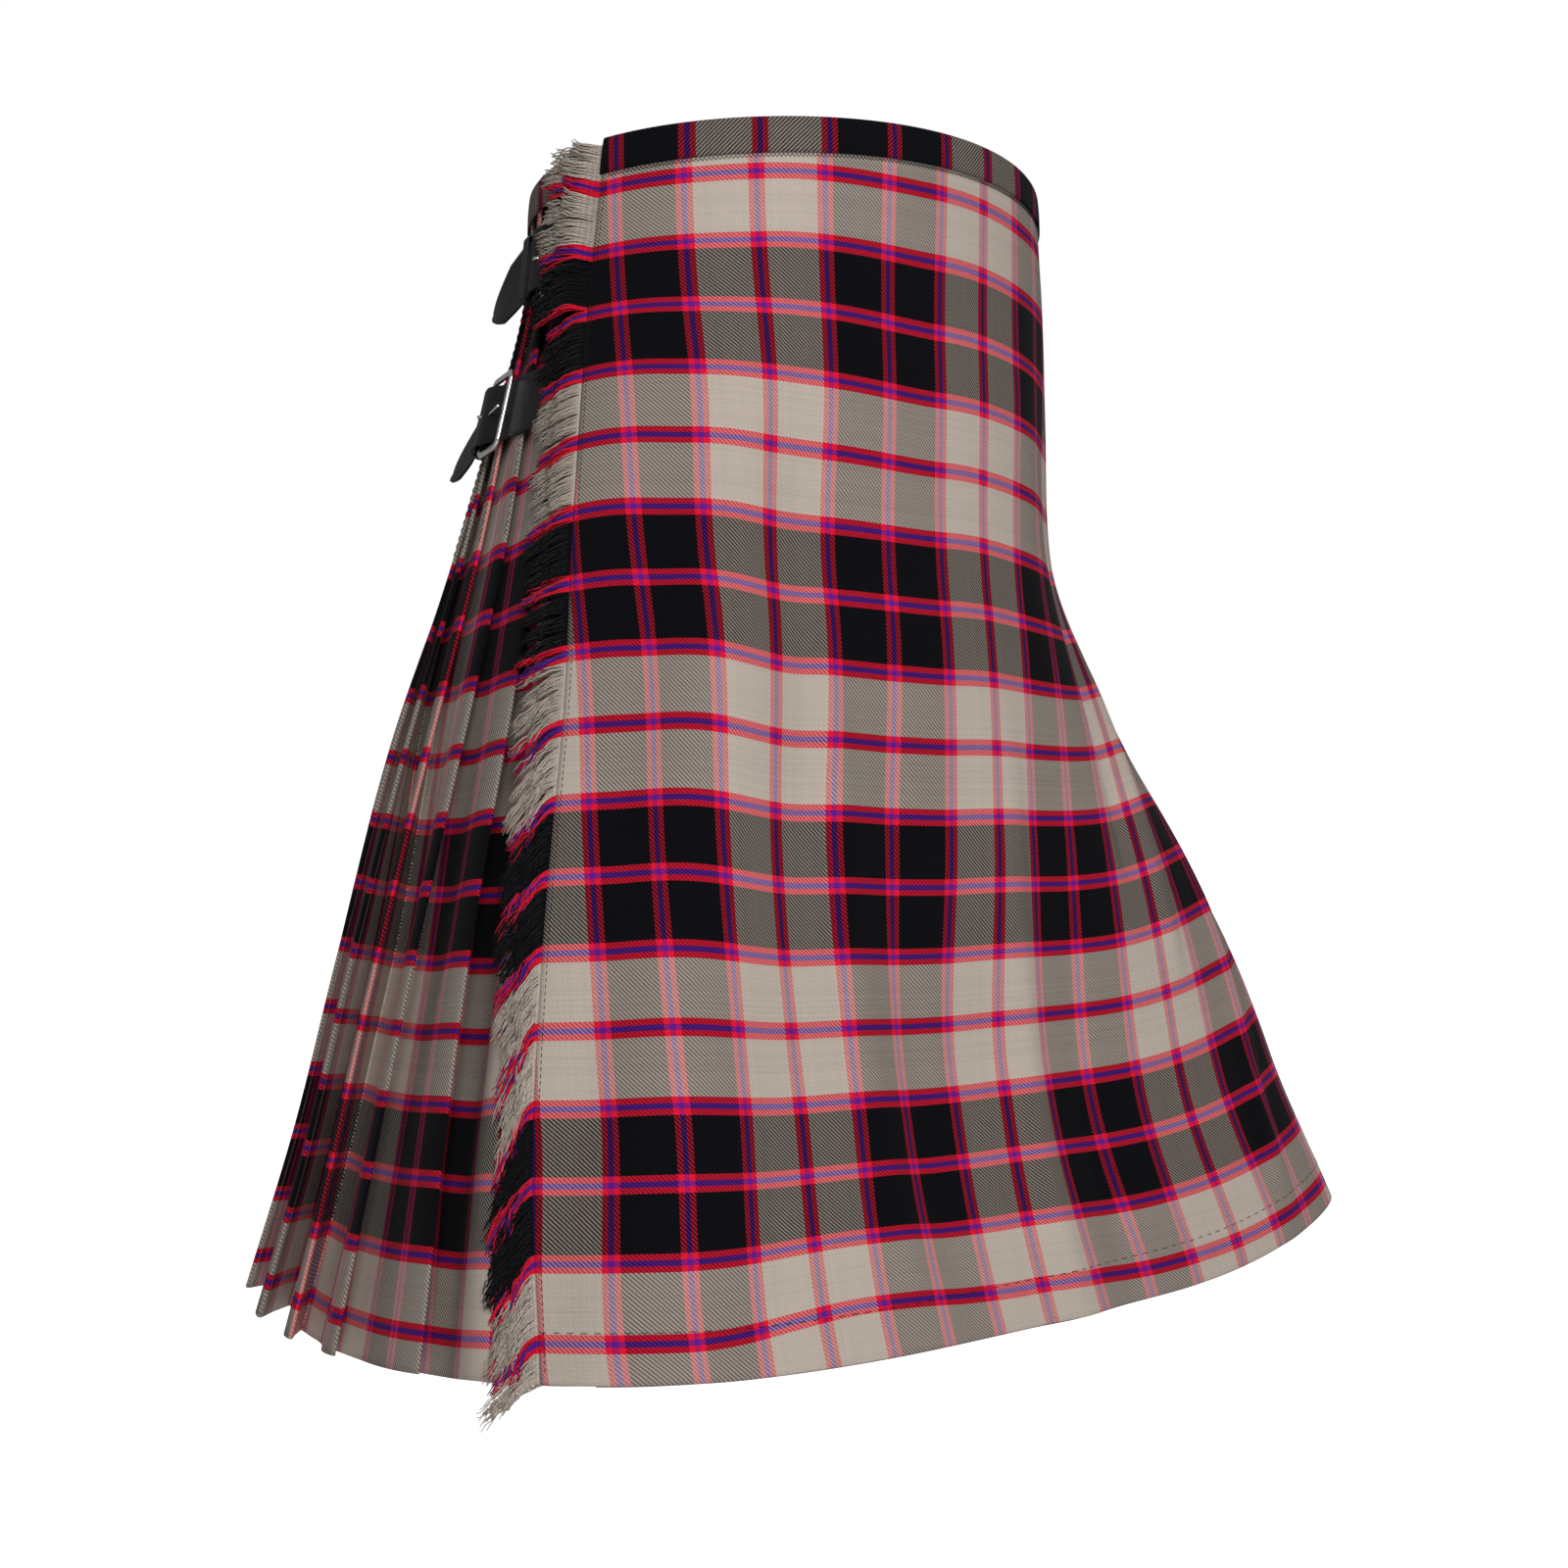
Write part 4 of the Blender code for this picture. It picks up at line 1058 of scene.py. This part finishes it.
def dashes(low, high, long, gap):
    """Starts and ends of stitches along a line."""
    starts = np.arange(low, high - long, long + gap)
    return starts, starts + long


def apron_face(across, drop, lift):
    return on_apron(across, drop, CLOTH / 2 + lift)


def zigzag():
    width = float(half_apron(0.0)) - 0.002
    across = np.arange(-width, width, ZIGZAG_STEP)
    drop = BAND_HEIGHT + np.where(np.arange(len(across)) % 2, 0.0004, 0.0022)
    points = np.stack([across, drop], axis=1)
    stitches("waistband_zigzag", points[:-1], points[1:], apron_face)


def edge_stitches():
    start, end = dashes(BAND_HEIGHT + 0.004, DROP - 0.002, 0.0022, 0.0010)
    stitches("apron_edge_stitches", np.stack([EDGE_ROW - half_apron(start), start], axis=1),
             np.stack([EDGE_ROW - half_apron(end), end], axis=1), apron_face)


def hem_stitches():
    half = float(half_apron(DROP)) - 0.004
    start, end = dashes(-half, half, 0.0042, 0.0030)
    drop = np.full_like(start, DROP - HEM_TURN)
    stitches("apron_hem_stitches", np.stack([start, drop], axis=1), np.stack([end, drop], axis=1),
             apron_face)


def pleat_stitches():
    starts, ends = [], []
    for k in range(1, PLEATS):
        start, end = dashes(BAND_HEIGHT + 0.002, FELL, 0.0030, 0.0016)
        behind = pleat_width(start) * k - 0.0002
        starts.append(np.stack([behind, start], axis=1))
        ends.append(np.stack([pleat_width(end) * k + 0.0008, end], axis=1))

    def beside_fold(behind, drop, lift):
        return on_cloth(pleat_start(drop) - behind, drop, UNDER_OUT + CLOTH / 2 + lift)

    stitches("pleat_stitches", np.concatenate(starts), np.concatenate(ends), beside_fold)


def leather_stitches(station):
    """A row of stitches across the chape on each side of the keeper."""
    y = np.arange(-STRAP_WIDTH / 2 + 0.004, STRAP_WIDTH / 2 - 0.004, 0.0030)
    starts, ends = [], []
    for back in (0.0115, 0.0245):
        starts += [(station.heel + back, place) for place in y]
        ends += [(station.heel + back, place + 0.0021) for place in y]

    def on_leather(x, place, lift):
        return station.place(x, place, PAD_TOP + lift)

    stitches("chape_stitches_" + station.name, starts, ends, on_leather)


zigzag()
edge_stitches()
hem_stitches()
pleat_stitches()
for strap_name in STRAPS:
    leather_stitches(Station(strap_name))

# ---- Studio --------------------------------------------------------------------------
# A pale floor, soft light from large panels, and the camera level with the hips at the
# wearer's right front.


def studio():
    bpy.ops.mesh.primitive_plane_add(size=60.0, location=(0.0, 0.0, -1.10))
    floor = bpy.context.object
    floor.name = "floor"
    material, s, surface = new_material("pale_floor")
    surface["Base Color"].default_value = (0.92, 0.92, 0.92, 1.0)
    surface["Roughness"].default_value = 0.9
    surface["Specular IOR Level"].default_value = 0.0
    surface["Emission Color"].default_value = (1.0, 1.0, 1.0, 1.0)
    s.join(surface["Emission Strength"], s.add("LightPath").outputs["Is Camera Ray"])
    floor.data.materials.append(material)

    world = bpy.data.worlds.new("studio")
    world.use_nodes = True
    sky = Shader(world.node_tree)
    seen = sky.add("LightPath").outputs["Is Camera Ray"]
    background = world.node_tree.nodes["Background"]
    background.inputs["Color"].default_value = (1.0, 1.0, 1.0, 1.0)
    sky.join(background.inputs["Strength"], sky.math("MULTIPLY_ADD", seen, 0.75, 0.25))
    bpy.context.scene.world = world
    bpy.context.scene.view_settings.view_transform = "Standard"

    lamp_columns = ("name", "bearing", "height", "distance", "size", "power")
    lamps = (
        ("key", -42, 0.9, 3.0, 1.3, 80.0),
        ("side", 60, 0.5, 3.2, 1.6, 5.0),
    )
    for row in lamps:
        lamp = dict(zip(lamp_columns, row))
        bearing = math.radians(lamp["bearing"])
        light = bpy.data.lights.new(lamp["name"], "AREA")
        light.energy = lamp["power"]
        light.size = lamp["size"]
        holder = bpy.data.objects.new(lamp["name"], light)
        away = lamp["distance"]
        place = (math.sin(bearing) * away, -math.cos(bearing) * away, lamp["height"])
        holder.location = place
        aim = Vector((0.0, 0.0, -0.3)) - Vector(place)
        holder.rotation_euler = aim.to_track_quat("-Z", "Y").to_euler()
        bpy.context.scene.collection.objects.link(holder)


def camera():
    bearing = math.radians(-50.5)
    distance = 1.239
    lens = bpy.data.cameras.new("camera")
    lens.lens = 50.0
    lens.sensor_width = 36.0
    lens.clip_start = 0.05
    holder = bpy.data.objects.new("camera", lens)
    holder.location = (distance * math.sin(bearing), -distance * math.cos(bearing), -0.3245)
    holder.rotation_euler = (math.radians(90.0), 0.0, bearing)
    bpy.context.scene.collection.objects.link(holder)
    bpy.context.scene.camera = holder


studio()
camera()
